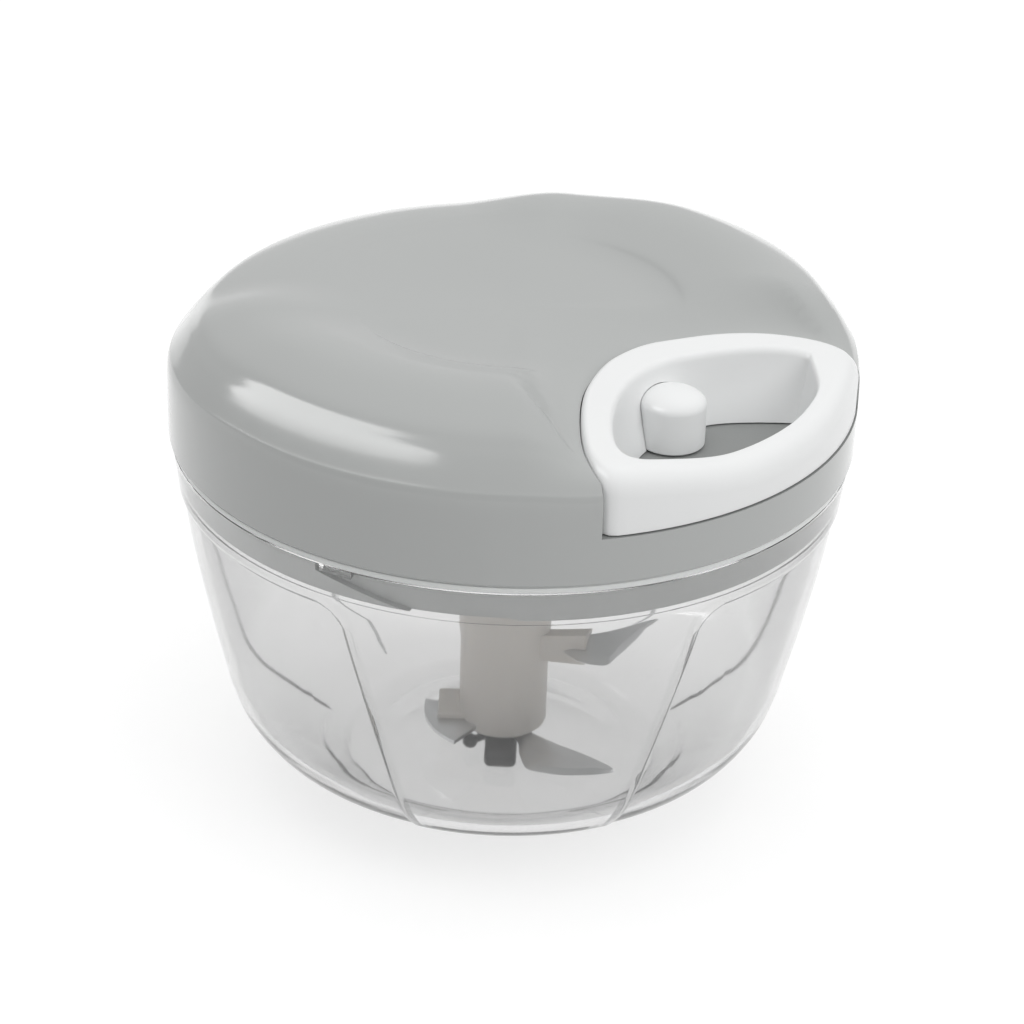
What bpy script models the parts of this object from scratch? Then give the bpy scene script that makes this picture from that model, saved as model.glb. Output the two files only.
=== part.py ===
# Manual food chopper: a clear bowl, a grey lid with a pull-cord drive, and a blade column.
# Lengths are in metres and angles in degrees. The origin is on the table under the bowl's
# centre, +Z is up and +X is the way the handle is pulled.

import math

import bmesh
import bpy
from mathutils import Matrix, Vector

# Clearances
FIT = 0.0003
SLIDE_FIT = 0.0005
OVERRUN = 0.0050

# Roundness
SIDES_LARGE = 60
SIDES_MEDIUM = 32
SIDES_SMALL = 20
SIDES_TINY = 12
HEX_SIDES = 6
SMOOTH_ANGLE = 35.0
MERGE_DISTANCE = 0.000005

# Bowl
BASE_RADIUS = 0.0305
FOOT_WIDTH = 0.0045
FOOT_RECESS = 0.0006
RIM_HEIGHT = 0.0726
RIM_LIP = 0.0021
BOWL_WALL = 0.0022
FLOOR_TOP = 0.0026
BOWL_HEIGHT_SHARES = (
    0.0, 0.025, 0.069, 0.123, 0.187, 0.259, 0.331, 0.413, 0.510, 0.613, 0.716, 0.820, 0.916, 1.0)
BOWL_RADIUS_SHARES = (
    0.0, 0.085, 0.240, 0.405, 0.590, 0.696, 0.748, 0.788, 0.835, 0.880, 0.921, 0.955, 0.979, 1.0)
PANEL_COUNT = 3
PANEL_FIRST_AZIMUTH = 15.0
PANEL_HALF_ANGLE = 26.0
PANEL_EDGE_ANGLE = 0.5
PANEL_DEPTH = 0.0006
PANEL_DROP = 0.0086
PANEL_BOTTOM = 0.0040
PANEL_EDGE = 0.0006
PANEL_STEPS = 6
PILLAR_STEPS = 7
FLOOR_CORNER_SLOPE = 2.0

# Centre pin in the bowl
PIN_RADIUS = 0.0020
PIN_DEPTH = 0.0011
PIN_TOP = 0.0197

# Bayonet between the bowl's lugs and the lid's skirt
LUG_COUNT = 3
LUG_AZIMUTH = -76.0
LUG_ANGLE = 6.0
LUG_REACH = 0.0017
LUG_HEIGHT = 0.0018
LUG_STEPS = 3
LOCK_TURN = 26.0
CHANNEL_DEPTH = 0.0016
CHANNEL_SIDE_ANGLE = 1.0
CHANNEL_GAP = 0.0004
CHANNEL_STEPS = 17

# Rim seal
SEAL_THICKNESS = 0.0008
SEAL_WIDTH = 0.0017

# Lid shell
LID_RADIUS = 0.0650
LID_OVERHANG = 0.0005
LID_WALL = 0.0020
LID_RISE = 0.0252
DOME_RADIUS_SHARES = (
    1.0, 1.0, 0.997, 0.985, 0.954, 0.923, 0.877, 0.769, 0.646, 0.508, 0.462, 0.338, 0.154)
DOME_HEIGHT_SHARES = (
    0.0, 0.30, 0.48, 0.570, 0.695, 0.780, 0.868, 0.958, 1.0, 1.0, 0.960, 0.940, 0.930)
DOME_MIDDLE_SHARE = 0.928
SIDE_RAISE = 0.0052
RAISE_CREST_AZIMUTH = 92.0
RAISE_STEP_START = 126.0
RAISE_STEP_END = 140.0
RAISE_STEP_SHARE = 0.60
RAISE_INNER_SHARE = 0.38
RAISE_OUTER_SHARE = 0.80

# Base plate with the skirt that enters the bowl
SKIRT_WALL = 0.0025
SKIRT_DROP = 0.0078
PLATE_THICKNESS = 0.0018
PLATE_LIFT = 0.0006

# Handle and its pocket in the lid
POCKET_FLOOR = 0.0090
HANDLE_INSET = 0.0008
CORD_ROOM = 0.0040
HANDLE_CORNER_AZIMUTH = 32.6
BACK_LENGTH_SHARES = (0.0, 0.0108, 0.0538, 0.1398, 0.2527, 0.3817, 0.5, 0.6183, 0.6882)
BACK_WIDTH_SHARES = (0.0, 0.0810, 0.1636, 0.2617, 0.3520, 0.4361, 0.4984, 0.5389, 0.5467)
MOUTH_LENGTH_SHARES = (0.1505, 0.1613, 0.1989, 0.2742, 0.3817, 0.4839, 0.5753, 0.6505, 0.7043)
MOUTH_WIDTH_SHARES = (0.0, 0.0810, 0.1526, 0.2430, 0.3364, 0.4019, 0.4361, 0.4408, 0.4237)
MOUTH_FRONT_WALL = 0.0040
FOOT_LENGTH_SHARES = (0.2876, 0.2957, 0.3280, 0.3898, 0.4731, 0.5645, 0.6317, 0.6774, 0.7043)
FOOT_WIDTH_SHARES = (0.0, 0.0748, 0.1495, 0.2087, 0.2648, 0.3178, 0.3489, 0.3551, 0.3458)
FOOT_FRONT_WALL = 0.0062
HANDLE_INNER_RISE = 0.0238
HANDLE_OUTER_RISE = 0.0168
HANDLE_EDGE = 0.0016
HANDLE_SAMPLES = 28
POCKET_SPREAD = 1.35
MOUTH_ROUND_SHARE = 0.26
DISH_REACH = 0.0180
DISH_LIP = 0.0002
DISH_SIDE_SLOPE = 0.8

# Knot cap on the handle
CAP_LENGTH_SHARE = 0.3172
CAP_RADIUS = 0.0061
CAP_RISE = 0.0200
CAP_DOME = 0.0026
CAP_DOME_RADIUS_SHARES = (1.0, 0.93, 0.66, 0.0)
CAP_DOME_HEIGHT_SHARES = (0.0, 0.5, 0.88, 1.0)
CAP_BORE = 0.0029
CAP_BORE_DEPTH = 0.0063
KNOT_RADIUS = 0.0022

# Pull cord
CORD_RADIUS = 0.0008
CORD_HOLE = 0.0013
CORD_START_AZIMUTH = 38.5
CORD_BEND = 0.0037
CORD_STRAIGHT_STEPS = 4
CORD_BEND_STEPS = 7

# Lid screws
SCREW_INSET = 0.0134
SCREW_AZIMUTHS = (70.0, 145.0, 215.0, 290.0)
SCREW_SHANK = 0.0014
SCREW_HEAD = 0.0028
SCREW_HEAD_HEIGHT = 0.0014
SCREW_LENGTH = 0.0097
POST_RADIUS = 0.0040

# Spool on its axle
AXLE_RADIUS = 0.0020
AXLE_BOSS = 0.0045
AXLE_SOCKET = 0.0034
SPOOL_RADIUS = 0.0205
SPOOL_CORE = 0.0140
SPOOL_FLANGE = 0.0016
SPOOL_GROOVE = 0.0053
SPOOL_HUB = 0.0045
SPOOL_HUB_DROP = 0.0012
SPOOL_HUB_RISE = 0.0004
SPRING_WALL = 0.0015
SPRING_COVER_THICKNESS = 0.0008
WINDING_THICKNESS = 0.0030

# Spiral spring
SPRING_TURNS = 6
SPRING_STEPS = 16
SPRING_STRIP = 0.0005
SPRING_HEIGHT = 0.0044

# Pawls
PAWL_AZIMUTHS = (0.0, 180.0)
PAWL_RING = 0.0085
PAWL_PIN = 0.0012
PAWL_EYE = 0.0026
PAWL_EYE_OPENING = 40.0
PAWL_EYE_STEPS = 10
PAWL_SHOULDER_SHARE = 0.6
PAWL_TIP_RING = 0.0128
PAWL_TIP_AZIMUTH = -40.0
PAWL_ARM_WIDTH = 0.0022
PAWL_TIP_WIDTH = 0.0008
PAWL_HEIGHT = 0.0024

# Drive hub
HUB_JOURNAL = 0.0060
HUB_SPIGOT = 0.0055
HUB_SPIGOT_LENGTH = 0.0145
HUB_JOURNAL_LENGTH = 0.0054
HUB_DISC = 0.0152
HUB_DISC_THICKNESS = 0.0015
HUB_RIM_HEIGHT = 0.0032
HUB_BOSS = 0.0040
HUB_BOSS_HEIGHT = 0.0020
TOOTH_COUNT = 12
TOOTH_ROOT = 0.0134
TOOTH_TIP = 0.0125
TOOTH_FACE_GAP = 1.5
CLIP_GROOVE_DEPTH = 0.0008
CLIP_GROOVE_RISE = 0.0006
CLIP_THICKNESS = 0.0007
CLIP_RADIUS = 0.0082
CLIP_GAP_ANGLE = 50.0
CLIP_STEPS = 20

# Drive bush
BUSH_WALL = 0.0022
BUSH_FLANGE = 0.0020
BUSH_FLANGE_THICKNESS = 0.0009

# Blade column
COLUMN_RADIUS = 0.0088
COLUMN_GAP = 0.0086
COLUMN_BOTTOM = 0.0077
SOCKET_DEPTH = 0.0097
HOLDER_NAMES = ("middle_holder", "upper_holder")
HOLDER_AZIMUTHS = (-138.0, 34.0)
HOLDER_LENGTHS = (0.0130, 0.0168)
HOLDER_HALF_WIDTHS = (0.0046, 0.0042)
HOLDER_LOWS = (0.0064, 0.0238)
HOLDER_HIGHS = (0.0108, 0.0308)

# Blades: two sickles, each by the azimuths of its edges at rising radii, and a short sector
BLADE_THICKNESS = 0.0008
LOWER_BLADE_RADII = (0.0052, 0.0089, 0.0120, 0.0155, 0.0183, 0.0220, 0.0251, 0.0275)
LOWER_BLADE_LEADING = (-26.0, -26.0, -31.0, -32.0, -29.8, -15.0, -3.8, 3.2)
LOWER_BLADE_TRAILING = (0.0, 0.0, 1.0, 2.2, 3.4, 4.4, 4.8, 4.8)
UPPER_BLADE_RADII = (
    0.0052, 0.0120, 0.0170, 0.0208, 0.0226, 0.0233, 0.0245, 0.0263, 0.0282, 0.0307, 0.0330)
UPPER_BLADE_LEADING = (22.0, 16.0, 10.0, 12.0, 15.5, 25.0, 33.0, 41.0, 49.0, 57.7, 64.0)
UPPER_BLADE_TRAILING = (50.0, 44.0, 46.0, 51.0, 54.0, 55.0, 57.0, 60.0, 62.5, 65.0, 66.0)
UPPER_BLADE_HEIGHT = 0.0268
SECTOR_ROOT = 0.0052
SECTOR_RADIUS = 0.0158
SECTOR_START = -150.0
SECTOR_END = -84.0
SECTOR_HEIGHT = 0.0092

# Hub cap and blade pin
CAP_FLANGE_RADIUS = 0.0060
CAP_FLANGE_THICKNESS = 0.0010
CAP_BODY = 0.0036
CAP_BODY_ROUND = 0.0012
BALL_RADIUS = 0.0015
BALL_RING = 0.0078
BALL_NECK = 0.0008
BALL_AZIMUTH = -102.0

# Widths that follow from the sizes above
RIM_RADIUS = LID_RADIUS - LID_OVERHANG
SEAT_RADIUS = RIM_RADIUS - RIM_LIP
SKIRT_RADIUS = SEAT_RADIUS - SLIDE_FIT
SCREW_RING = SKIRT_RADIUS - SKIRT_WALL - SCREW_INSET
HANDLE_RADIUS = LID_RADIUS - HANDLE_INSET
HANDLE_BACK = SPOOL_RADIUS + CORD_ROOM + LID_WALL + SLIDE_FIT
HANDLE_LENGTH = HANDLE_RADIUS - HANDLE_BACK
CAP_X = HANDLE_BACK + HANDLE_LENGTH * CAP_LENGTH_SHARE

# Heights that follow from the sizes above
SEAL_BOTTOM = RIM_HEIGHT + FIT
LID_EDGE = SEAL_BOTTOM + SEAL_THICKNESS + FIT
SKIRT_BOTTOM = LID_EDGE - SKIRT_DROP
PLATE_BOTTOM = LID_EDGE + PLATE_LIFT
PLATE_TOP = PLATE_BOTTOM + PLATE_THICKNESS
LUG_TOP = RIM_HEIGHT - FIT
LOCK_RISE = LUG_TOP - SKIRT_BOTTOM
PANEL_TOP = RIM_HEIGHT - PANEL_DROP
COLUMN_TOP = PLATE_BOTTOM - COLUMN_GAP
FLOOR_HEIGHT = LID_EDGE + POCKET_FLOOR
HUB_DISC_BOTTOM = PLATE_TOP + SLIDE_FIT
HUB_DISC_TOP = HUB_DISC_BOTTOM + HUB_DISC_THICKNESS
HUB_RIM_TOP = HUB_DISC_TOP + HUB_RIM_HEIGHT
HUB_BOSS_TOP = HUB_DISC_TOP + HUB_BOSS_HEIGHT
SPOOL_BOTTOM = HUB_RIM_TOP + FIT
GROOVE_BOTTOM = SPOOL_BOTTOM + SPOOL_FLANGE
GROOVE_TOP = GROOVE_BOTTOM + SPOOL_GROOVE
SPOOL_TOP = GROOVE_TOP + SPOOL_FLANGE
COVER_BOTTOM = SPOOL_TOP + FIT
COVER_TOP = COVER_BOTTOM + SPRING_COVER_THICKNESS
CORD_HEIGHT = (GROOVE_BOTTOM + GROOVE_TOP) / 2
SPIGOT_BOTTOM = HUB_DISC_BOTTOM - HUB_JOURNAL_LENGTH - HUB_SPIGOT_LENGTH
JOURNAL_BOTTOM = HUB_DISC_BOTTOM - HUB_JOURNAL_LENGTH
BUSH_BORE = HUB_JOURNAL + FIT
BUSH_RADIUS = BUSH_BORE + BUSH_WALL
CLIP_GROOVE_BOTTOM = JOURNAL_BOTTOM + CLIP_GROOVE_RISE
LOWER_BLADE_HEIGHT = COLUMN_BOTTOM - FIT - BLADE_THICKNESS / 2
CAP_FLANGE_TOP = LOWER_BLADE_HEIGHT - BLADE_THICKNESS / 2 - FIT


def clear_scene():
    for item in list(bpy.data.objects):
        bpy.data.objects.remove(item, do_unlink=True)


def material(name, colour, roughness, metallic=0.0, alpha=1.0):
    made = bpy.data.materials.new(name)
    made.use_nodes = True
    shader = made.node_tree.nodes["Principled BSDF"]
    shader.inputs["Base Color"].default_value = (*colour, 1.0)
    shader.inputs["Roughness"].default_value = roughness
    shader.inputs["Metallic"].default_value = metallic
    shader.inputs["Alpha"].default_value = alpha
    return made


def polar(radius, azimuth, height=0.0):
    turn = math.radians(azimuth)
    return Vector((radius * math.cos(turn), radius * math.sin(turn), height))


def smooth_step(value):
    held = min(max(value, 0.0), 1.0)
    return held * held * (3 - 2 * held)


def table_value(at, places, values):
    """Straight-line reading of a table whose places rise."""
    for low, high, first, second in zip(places, places[1:], values, values[1:]):
        if at <= high:
            return first + (second - first) * (at - low) / (high - low)
    return values[-1]


def finish(name, mesh_maker, finish_material, parent=None):
    """One object from a bmesh, facing out, shaded smooth but for its sharp edges."""
    bmesh.ops.recalc_face_normals(mesh_maker, faces=mesh_maker.faces)
    mesh = bpy.data.meshes.new(name)
    mesh_maker.to_mesh(mesh)
    mesh_maker.free()
    made = bpy.data.objects.new(name, mesh)
    bpy.context.scene.collection.objects.link(made)
    if finish_material:
        mesh.materials.append(finish_material)
        mesh.shade_smooth()
        mesh.set_sharp_from_angle(angle=math.radians(SMOOTH_ANGLE))
    if parent:
        made.parent = parent
        made.matrix_parent_inverse = parent.matrix_world.inverted()
    return made


def cutter(name, mesh_maker):
    made = finish(name, mesh_maker, None)
    made.hide_render = True
    made.display_type = "WIRE"
    return made


def boolean(target, tool, operation="DIFFERENCE"):
    change = target.modifiers.new(tool.name, "BOOLEAN")
    change.operation = operation
    change.solver = "EXACT"
    change.object = tool


def turned(outline, sides):
    """A body of revolution about Z from (radius, height) points, closed by the axis or by itself."""
    made = bmesh.new()
    points = [made.verts.new((radius, 0.0, height)) for radius, height in outline]
    on_axis = outline[0][0] == 0.0 and outline[-1][0] == 0.0
    edges = [made.edges.new(pair) for pair in zip(points, points[1:])]
    if not on_axis:
        edges.append(made.edges.new((points[-1], points[0])))
    bmesh.ops.spin(
        made, geom=points + edges, cent=(0.0, 0.0, 0.0), axis=(0.0, 0.0, 1.0),
        angle=2 * math.pi, steps=sides, use_merge=True)
    bmesh.ops.remove_doubles(made, verts=made.verts, dist=MERGE_DISTANCE)
    return made


def cylinder(radius, low, high, sides=SIDES_SMALL, at=(0.0, 0.0)):
    made = bmesh.new()
    bmesh.ops.create_cone(
        made, cap_ends=True, segments=sides, radius1=radius, radius2=radius, depth=high - low,
        matrix=Matrix.Translation((at[0], at[1], (low + high) / 2)))
    return made


def prism(outline, low, high):
    """A flat outline of (x, y) points raised from one height to another."""
    made = bmesh.new()
    face = made.faces.new([made.verts.new((x, y, low)) for x, y in outline])
    raised = bmesh.ops.extrude_face_region(made, geom=[face])
    bmesh.ops.translate(
        made, vec=(0.0, 0.0, high - low),
        verts=[item for item in raised["geom"] if isinstance(item, bmesh.types.BMVert)])
    return made


def polar_block(inner, outer, start, end, low, high, steps=6):
    angles = [start + (end - start) * step / steps for step in range(steps + 1)]
    outline = [polar(outer, angle).xy for angle in angles]
    outline += [polar(inner, angle).xy for angle in reversed(angles)]
    return prism(outline, low, high)


def loft(rings, start_pole=None, end_pole=None, closed=False):
    """Faces between rings of points of equal count, with a pole at an end or a closed tube."""
    made = bmesh.new()
    rows = [[made.verts.new(point) for point in ring] for ring in rings]
    count = len(rows[0])
    pairs = list(zip(rows, rows[1:]))
    if closed:
        pairs.append((rows[-1], rows[0]))
    for first, second in pairs:
        for here in range(count):
            after = (here + 1) % count
            made.faces.new((first[here], first[after], second[after], second[here]))
    for pole, row in ((start_pole, rows[0]), (end_pole, rows[-1])):
        if pole is not None:
            middle = made.verts.new(pole)
            for here in range(count):
                made.faces.new((row[here], row[(here + 1) % count], middle))
    return made


def grown(outline, distance):
    """An outline of (x, y) points, anticlockwise, moved outwards along its corner normals."""
    moved = []
    for here, point in enumerate(outline):
        before = Vector(outline[here - 1])
        after = Vector(outline[(here + 1) % len(outline)])
        along = (after - before).normalized()
        moved.append(Vector(point) + Vector((along.y, -along.x)) * distance)
    return moved


# The bowl

def bowl_radius(height):
    share = table_value(height / RIM_HEIGHT, BOWL_HEIGHT_SHARES, BOWL_RADIUS_SHARES)
    return BASE_RADIUS + share * (RIM_RADIUS - BASE_RADIUS)


def bowl_columns():
    """Azimuths round the bowl, with their panel shares and a pair of columns at each panel edge."""
    columns = []
    spacing = 360.0 / PANEL_COUNT
    pillar_half = spacing / 2 - PANEL_HALF_ANGLE
    for panel in range(PANEL_COUNT):
        middle = PANEL_FIRST_AZIMUTH + panel * spacing
        inner_half = PANEL_HALF_ANGLE - PANEL_EDGE_ANGLE
        outer_half = PANEL_HALF_ANGLE + PANEL_EDGE_ANGLE
        for step in range(PANEL_STEPS + 1):
            columns.append((middle - inner_half + 2 * inner_half * step / PANEL_STEPS, 1.0))
        pillar = 2 * (pillar_half - PANEL_EDGE_ANGLE)
        for step in range(PILLAR_STEPS + 1):
            columns.append((middle + outer_half + pillar * step / PILLAR_STEPS, 0.0))
    return columns


def bowl_rows():
    heights = [share * RIM_HEIGHT for share in BOWL_HEIGHT_SHARES]
    heights += [PANEL_TOP, PANEL_TOP + PANEL_EDGE, PANEL_BOTTOM]
    return sorted(heights)


def inner_wall():
    """The bowl's inner surface as (radius, height) points, from the floor to the rim."""
    heights = [share * RIM_HEIGHT for share in BOWL_HEIGHT_SHARES]
    outer = [Vector((bowl_radius(height), height)) for height in heights]
    ledge = SKIRT_BOTTOM - SLIDE_FIT
    points = []
    for before, here, after in zip(outer, outer[1:], outer[2:]):
        along = (after - before).normalized()
        moved = here + Vector((-along.y, along.x)) * BOWL_WALL
        if FLOOR_TOP < moved.y < ledge - SLIDE_FIT:
            points.append((moved.x, moved.y))
    floor_edge = points[0][0] - (points[0][1] - FLOOR_TOP) * FLOOR_CORNER_SLOPE
    below = bowl_radius(ledge) - BOWL_WALL
    points = [(floor_edge, FLOOR_TOP)] + points + [(below, ledge - SLIDE_FIT)]
    return points + [(SEAT_RADIUS, ledge), (SEAT_RADIUS, RIM_HEIGHT)]


def make_bowl(clear):
    columns = bowl_columns()
    foot_inner = BASE_RADIUS - FOOT_WIDTH
    rings = [[polar(foot_inner - FOOT_RECESS, azimuth, FOOT_RECESS) for azimuth, _ in columns]]
    rings.append([polar(foot_inner, azimuth) for azimuth, _ in columns])
    for height in bowl_rows():
        inside = PANEL_BOTTOM < height <= PANEL_TOP
        depth = PANEL_DEPTH if inside else 0.0
        radius = bowl_radius(height)
        rings.append([polar(radius - depth * share, azimuth, height) for azimuth, share in columns])
    for radius, height in reversed(inner_wall()):
        rings.append([polar(radius, azimuth, height) for azimuth, _ in columns])
    shape = loft(rings, start_pole=(0.0, 0.0, FOOT_RECESS), end_pole=(0.0, 0.0, FLOOR_TOP))
    bowl = finish("bowl", shape, clear)
    hole = cylinder(PIN_RADIUS + FIT, FLOOR_TOP - PIN_DEPTH, FLOOR_TOP + OVERRUN, SIDES_TINY)
    boolean(bowl, cutter("pin_hole", hole))
    for number in range(LUG_COUNT):
        start = LUG_AZIMUTH - LUG_ANGLE / 2 + number * 360.0 / LUG_COUNT
        root = (RIM_RADIUS + SEAT_RADIUS) / 2
        lug = polar_block(
            SEAT_RADIUS - LUG_REACH, root, start, start + LUG_ANGLE,
            LUG_TOP - LUG_HEIGHT, LUG_TOP, steps=LUG_STEPS)
        boolean(bowl, cutter(f"lug_{number + 1}", lug), "UNION")


def make_centre_pin(steel):
    low = FLOOR_TOP - PIN_DEPTH + FIT
    tip = PIN_RADIUS / 2
    outline = [(0.0, low), (PIN_RADIUS, low), (PIN_RADIUS, PIN_TOP - tip), (tip, PIN_TOP), (0.0, PIN_TOP)]
    finish("centre_pin", turned(outline, SIDES_TINY), steel)


# The lid's fixed pieces

def make_rim_seal(silicone, pivot):
    outer = RIM_RADIUS - FIT
    inner = outer - SEAL_WIDTH
    top = SEAL_BOTTOM + SEAL_THICKNESS
    outline = [(inner, SEAL_BOTTOM), (outer, SEAL_BOTTOM), (outer, top), (inner, top)]
    finish("rim_seal", turned(outline, SIDES_LARGE), silicone, pivot)


def side_raise(radius_share, height_share, azimuth):
    """How far the lid's two flanks beside the handle stand above its back."""
    turn = abs((azimuth + 180.0) % 360.0 - 180.0)
    step = smooth_step((RAISE_STEP_END - turn) / (RAISE_STEP_END - RAISE_STEP_START))
    crest = smooth_step((RAISE_STEP_START - turn) / (RAISE_STEP_START - RAISE_CREST_AZIMUTH))
    around = RAISE_STEP_SHARE * step + (1 - RAISE_STEP_SHARE) * crest
    outward = smooth_step(
        (radius_share - RAISE_INNER_SHARE) / (RAISE_OUTER_SHARE - RAISE_INNER_SHARE))
    return SIDE_RAISE * around * outward * height_share


def handle_table(length_shares, width_shares):
    """Real places of a hand-set edge of the handle, given as shares of its length and radius."""
    xs = [HANDLE_BACK + HANDLE_LENGTH * share for share in length_shares]
    ys = [HANDLE_RADIUS * share for share in width_shares]
    return xs, ys


def handle_top(x):
    share = (x - HANDLE_BACK) / HANDLE_LENGTH
    return HANDLE_INNER_RISE + (HANDLE_OUTER_RISE - HANDLE_INNER_RISE) * share


def dished(place, height):
    """The lid's height after it sinks to meet the top of the handle."""
    side = abs(place.y)
    xs, ys = handle_table(BACK_LENGTH_SHARES, BACK_WIDTH_SHARES)
    edge = table_value(side, ys, xs)
    edge += max(side - ys[-1], 0.0) * DISH_SIDE_SLOPE
    near = smooth_step((place.x - edge + DISH_REACH) / DISH_REACH)
    return height + min(handle_top(place.x) + DISH_LIP - height, 0.0) * near


def dome(radius, rise, low):
    """A closed solid under the lid's top surface, down to a flat bottom."""
    angles = [360.0 * step / SIDES_LARGE for step in range(SIDES_LARGE)]
    rings = [[polar(radius, angle, low) for angle in angles]]
    for radius_share, height_share in zip(DOME_RADIUS_SHARES[1:], DOME_HEIGHT_SHARES[1:]):
        ring = []
        for angle in angles:
            place = polar(radius * radius_share, angle)
            height = LID_RISE * height_share + side_raise(radius_share, height_share, angle)
            height = dished(place * (LID_RADIUS / radius), height)
            place.z = LID_EDGE + height * rise / LID_RISE
            ring.append(place)
        rings.append(ring)
    middle = LID_EDGE + rise * DOME_MIDDLE_SHARE
    return loft(rings, start_pole=(0.0, 0.0, low), end_pole=(0.0, 0.0, middle))


def curve_points(length_shares, width_shares):
    """Points along a smooth curve through hand-set points, mirrored about the X axis."""
    half = [Vector(pair) for pair in zip(*handle_table(length_shares, width_shares))]
    through = [Vector((point.x, -point.y)) for point in reversed(half[1:])] + half
    padded = [2 * through[0] - through[1]] + through + [2 * through[-1] - through[-2]]
    spans = len(through) - 1
    points = []
    for step in range(HANDLE_SAMPLES + 1):
        place = spans * step / HANDLE_SAMPLES
        span = min(int(place), spans - 1)
        t = place - span
        before, first, second, after = padded[span:span + 4]
        points.append(0.5 * (
            2 * first + (second - before) * t
            + (2 * before - 5 * first + 4 * second - after) * t * t
            + (3 * first - before - 3 * second + after) * t * t * t))
    return points


def arc_points(radius, half_angle, count):
    """Inner points of an arc about the axis, from the +Y side to the -Y side."""
    angles = [half_angle - 2 * half_angle * step / count for step in range(1, count)]
    return [polar(radius, angle).xy for angle in angles]


def handle_outline():
    """The handle's outer edge, clockwise from its front corner on the -Y side."""
    back = curve_points(BACK_LENGTH_SHARES, BACK_WIDTH_SHARES)
    front = arc_points(HANDLE_RADIUS, HANDLE_CORNER_AZIMUTH, HANDLE_SAMPLES // 2)
    corner = polar(HANDLE_RADIUS, HANDLE_CORNER_AZIMUTH).xy
    return back + [corner] + front + [Vector((corner.x, -corner.y))]


def opening_outline(length_shares, width_shares, front_wall):
    """The finger opening's edge at its mouth or its foot."""
    back = curve_points(length_shares, width_shares)
    front_radius = HANDLE_RADIUS - front_wall
    corner_angle = math.degrees(math.asin(back[-1].y / front_radius))
    front = arc_points(front_radius, corner_angle, HANDLE_SAMPLES // 2)
    corner = polar(front_radius, corner_angle).xy
    return back + [corner] + front + [Vector((corner.x, -corner.y))]


def pocket_outline(gap):
    """The handle's back edge moved out by a gap, then opened outwards past the lid's wall."""
    back = curve_points(BACK_LENGTH_SHARES, BACK_WIDTH_SHARES)
    anticlockwise = list(reversed(back))
    moved = grown(anticlockwise, gap)[1:-1]
    first_end = moved[-1] * (LID_RADIUS * POCKET_SPREAD / moved[-1].length)
    second_end = moved[0] * (LID_RADIUS * POCKET_SPREAD / moved[0].length)
    return moved + [first_end, second_end]


def screw_places():
    return [polar(SCREW_RING, azimuth).xy for azimuth in SCREW_AZIMUTHS]


def x_cylinder(radius, low, high, sides=SIDES_TINY):
    """A cylinder along +X at the cord's height."""
    made = cylinder(radius, low, high, sides)
    turn = Matrix.Rotation(math.radians(90.0), 4, "Y")
    bmesh.ops.transform(made, matrix=Matrix.Translation((0.0, 0.0, CORD_HEIGHT)) @ turn, verts=made.verts)
    return made


def eyelet_inner_face():
    return HANDLE_BACK - SLIDE_FIT - LID_WALL


def make_lid_shell(grey, parent):
    shell = finish("lid_shell", dome(LID_RADIUS, LID_RISE, LID_EDGE), grey, parent)
    inner_radius = LID_RADIUS - LID_WALL
    hollow = cutter("lid_hollow", dome(inner_radius, LID_RISE - LID_WALL, LID_EDGE - OVERRUN))
    top = LID_EDGE + LID_RISE + OVERRUN
    wall = prism(pocket_outline(SLIDE_FIT + LID_WALL), FLOOR_HEIGHT - LID_WALL, top + OVERRUN)
    boolean(hollow, cutter("pocket_wall", wall))
    boss_low = COVER_TOP + SLIDE_FIT
    boolean(hollow, cutter("axle_boss", cylinder(AXLE_BOSS, boss_low, top)))
    for number, place in enumerate(screw_places(), 1):
        post = cylinder(POST_RADIUS, PLATE_TOP + FIT, top, SIDES_SMALL, place)
        boolean(hollow, cutter(f"post_{number}", post))
    boolean(shell, hollow)
    boolean(shell, cutter("pocket", prism(pocket_outline(SLIDE_FIT), FLOOR_HEIGHT, top)))
    axle_hole = cylinder(AXLE_RADIUS + FIT, boss_low - OVERRUN, boss_low + AXLE_SOCKET, SIDES_TINY)
    boolean(shell, cutter("axle_hole", axle_hole))
    for number, place in enumerate(screw_places(), 1):
        high = PLATE_BOTTOM + SCREW_LENGTH
        hole = cylinder(SCREW_SHANK + FIT, PLATE_TOP - OVERRUN, high, SIDES_TINY, place)
        boolean(shell, cutter(f"post_hole_{number}", hole))
    start = eyelet_inner_face()
    hole = x_cylinder(CORD_HOLE + LID_WALL / 2 + FIT, start - FIT, start + LID_WALL + OVERRUN / 2)
    boolean(shell, cutter("eyelet_hole", hole))


def channel_shape(middle):
    """A ramp in the skirt's outside, along which a lug leaves as the lid turns and rises."""
    half = LUG_ANGLE / 2 + CHANNEL_SIDE_ANGLE
    floor = SKIRT_RADIUS - CHANNEL_DEPTH
    outer = SKIRT_RADIUS + FIT
    high = LUG_TOP + CHANNEL_GAP
    low = LUG_TOP - LUG_HEIGHT - CHANNEL_GAP
    rings = []
    for step in range(CHANNEL_STEPS + 1):
        turn = (LOCK_TURN + 2 * half) * step / CHANNEL_STEPS
        upper = high - LOCK_RISE * max(turn - 2 * half, 0.0) / LOCK_TURN
        lower = low - LOCK_RISE * turn / LOCK_TURN
        corners = ((floor, upper), (outer, upper), (outer, lower), (floor, lower))
        rings.append([polar(radius, middle - half + turn, height) for radius, height in corners])
    ends = [sum(ring, Vector()) / len(ring) for ring in (rings[0], rings[-1])]
    return loft(rings, *ends)


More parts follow.
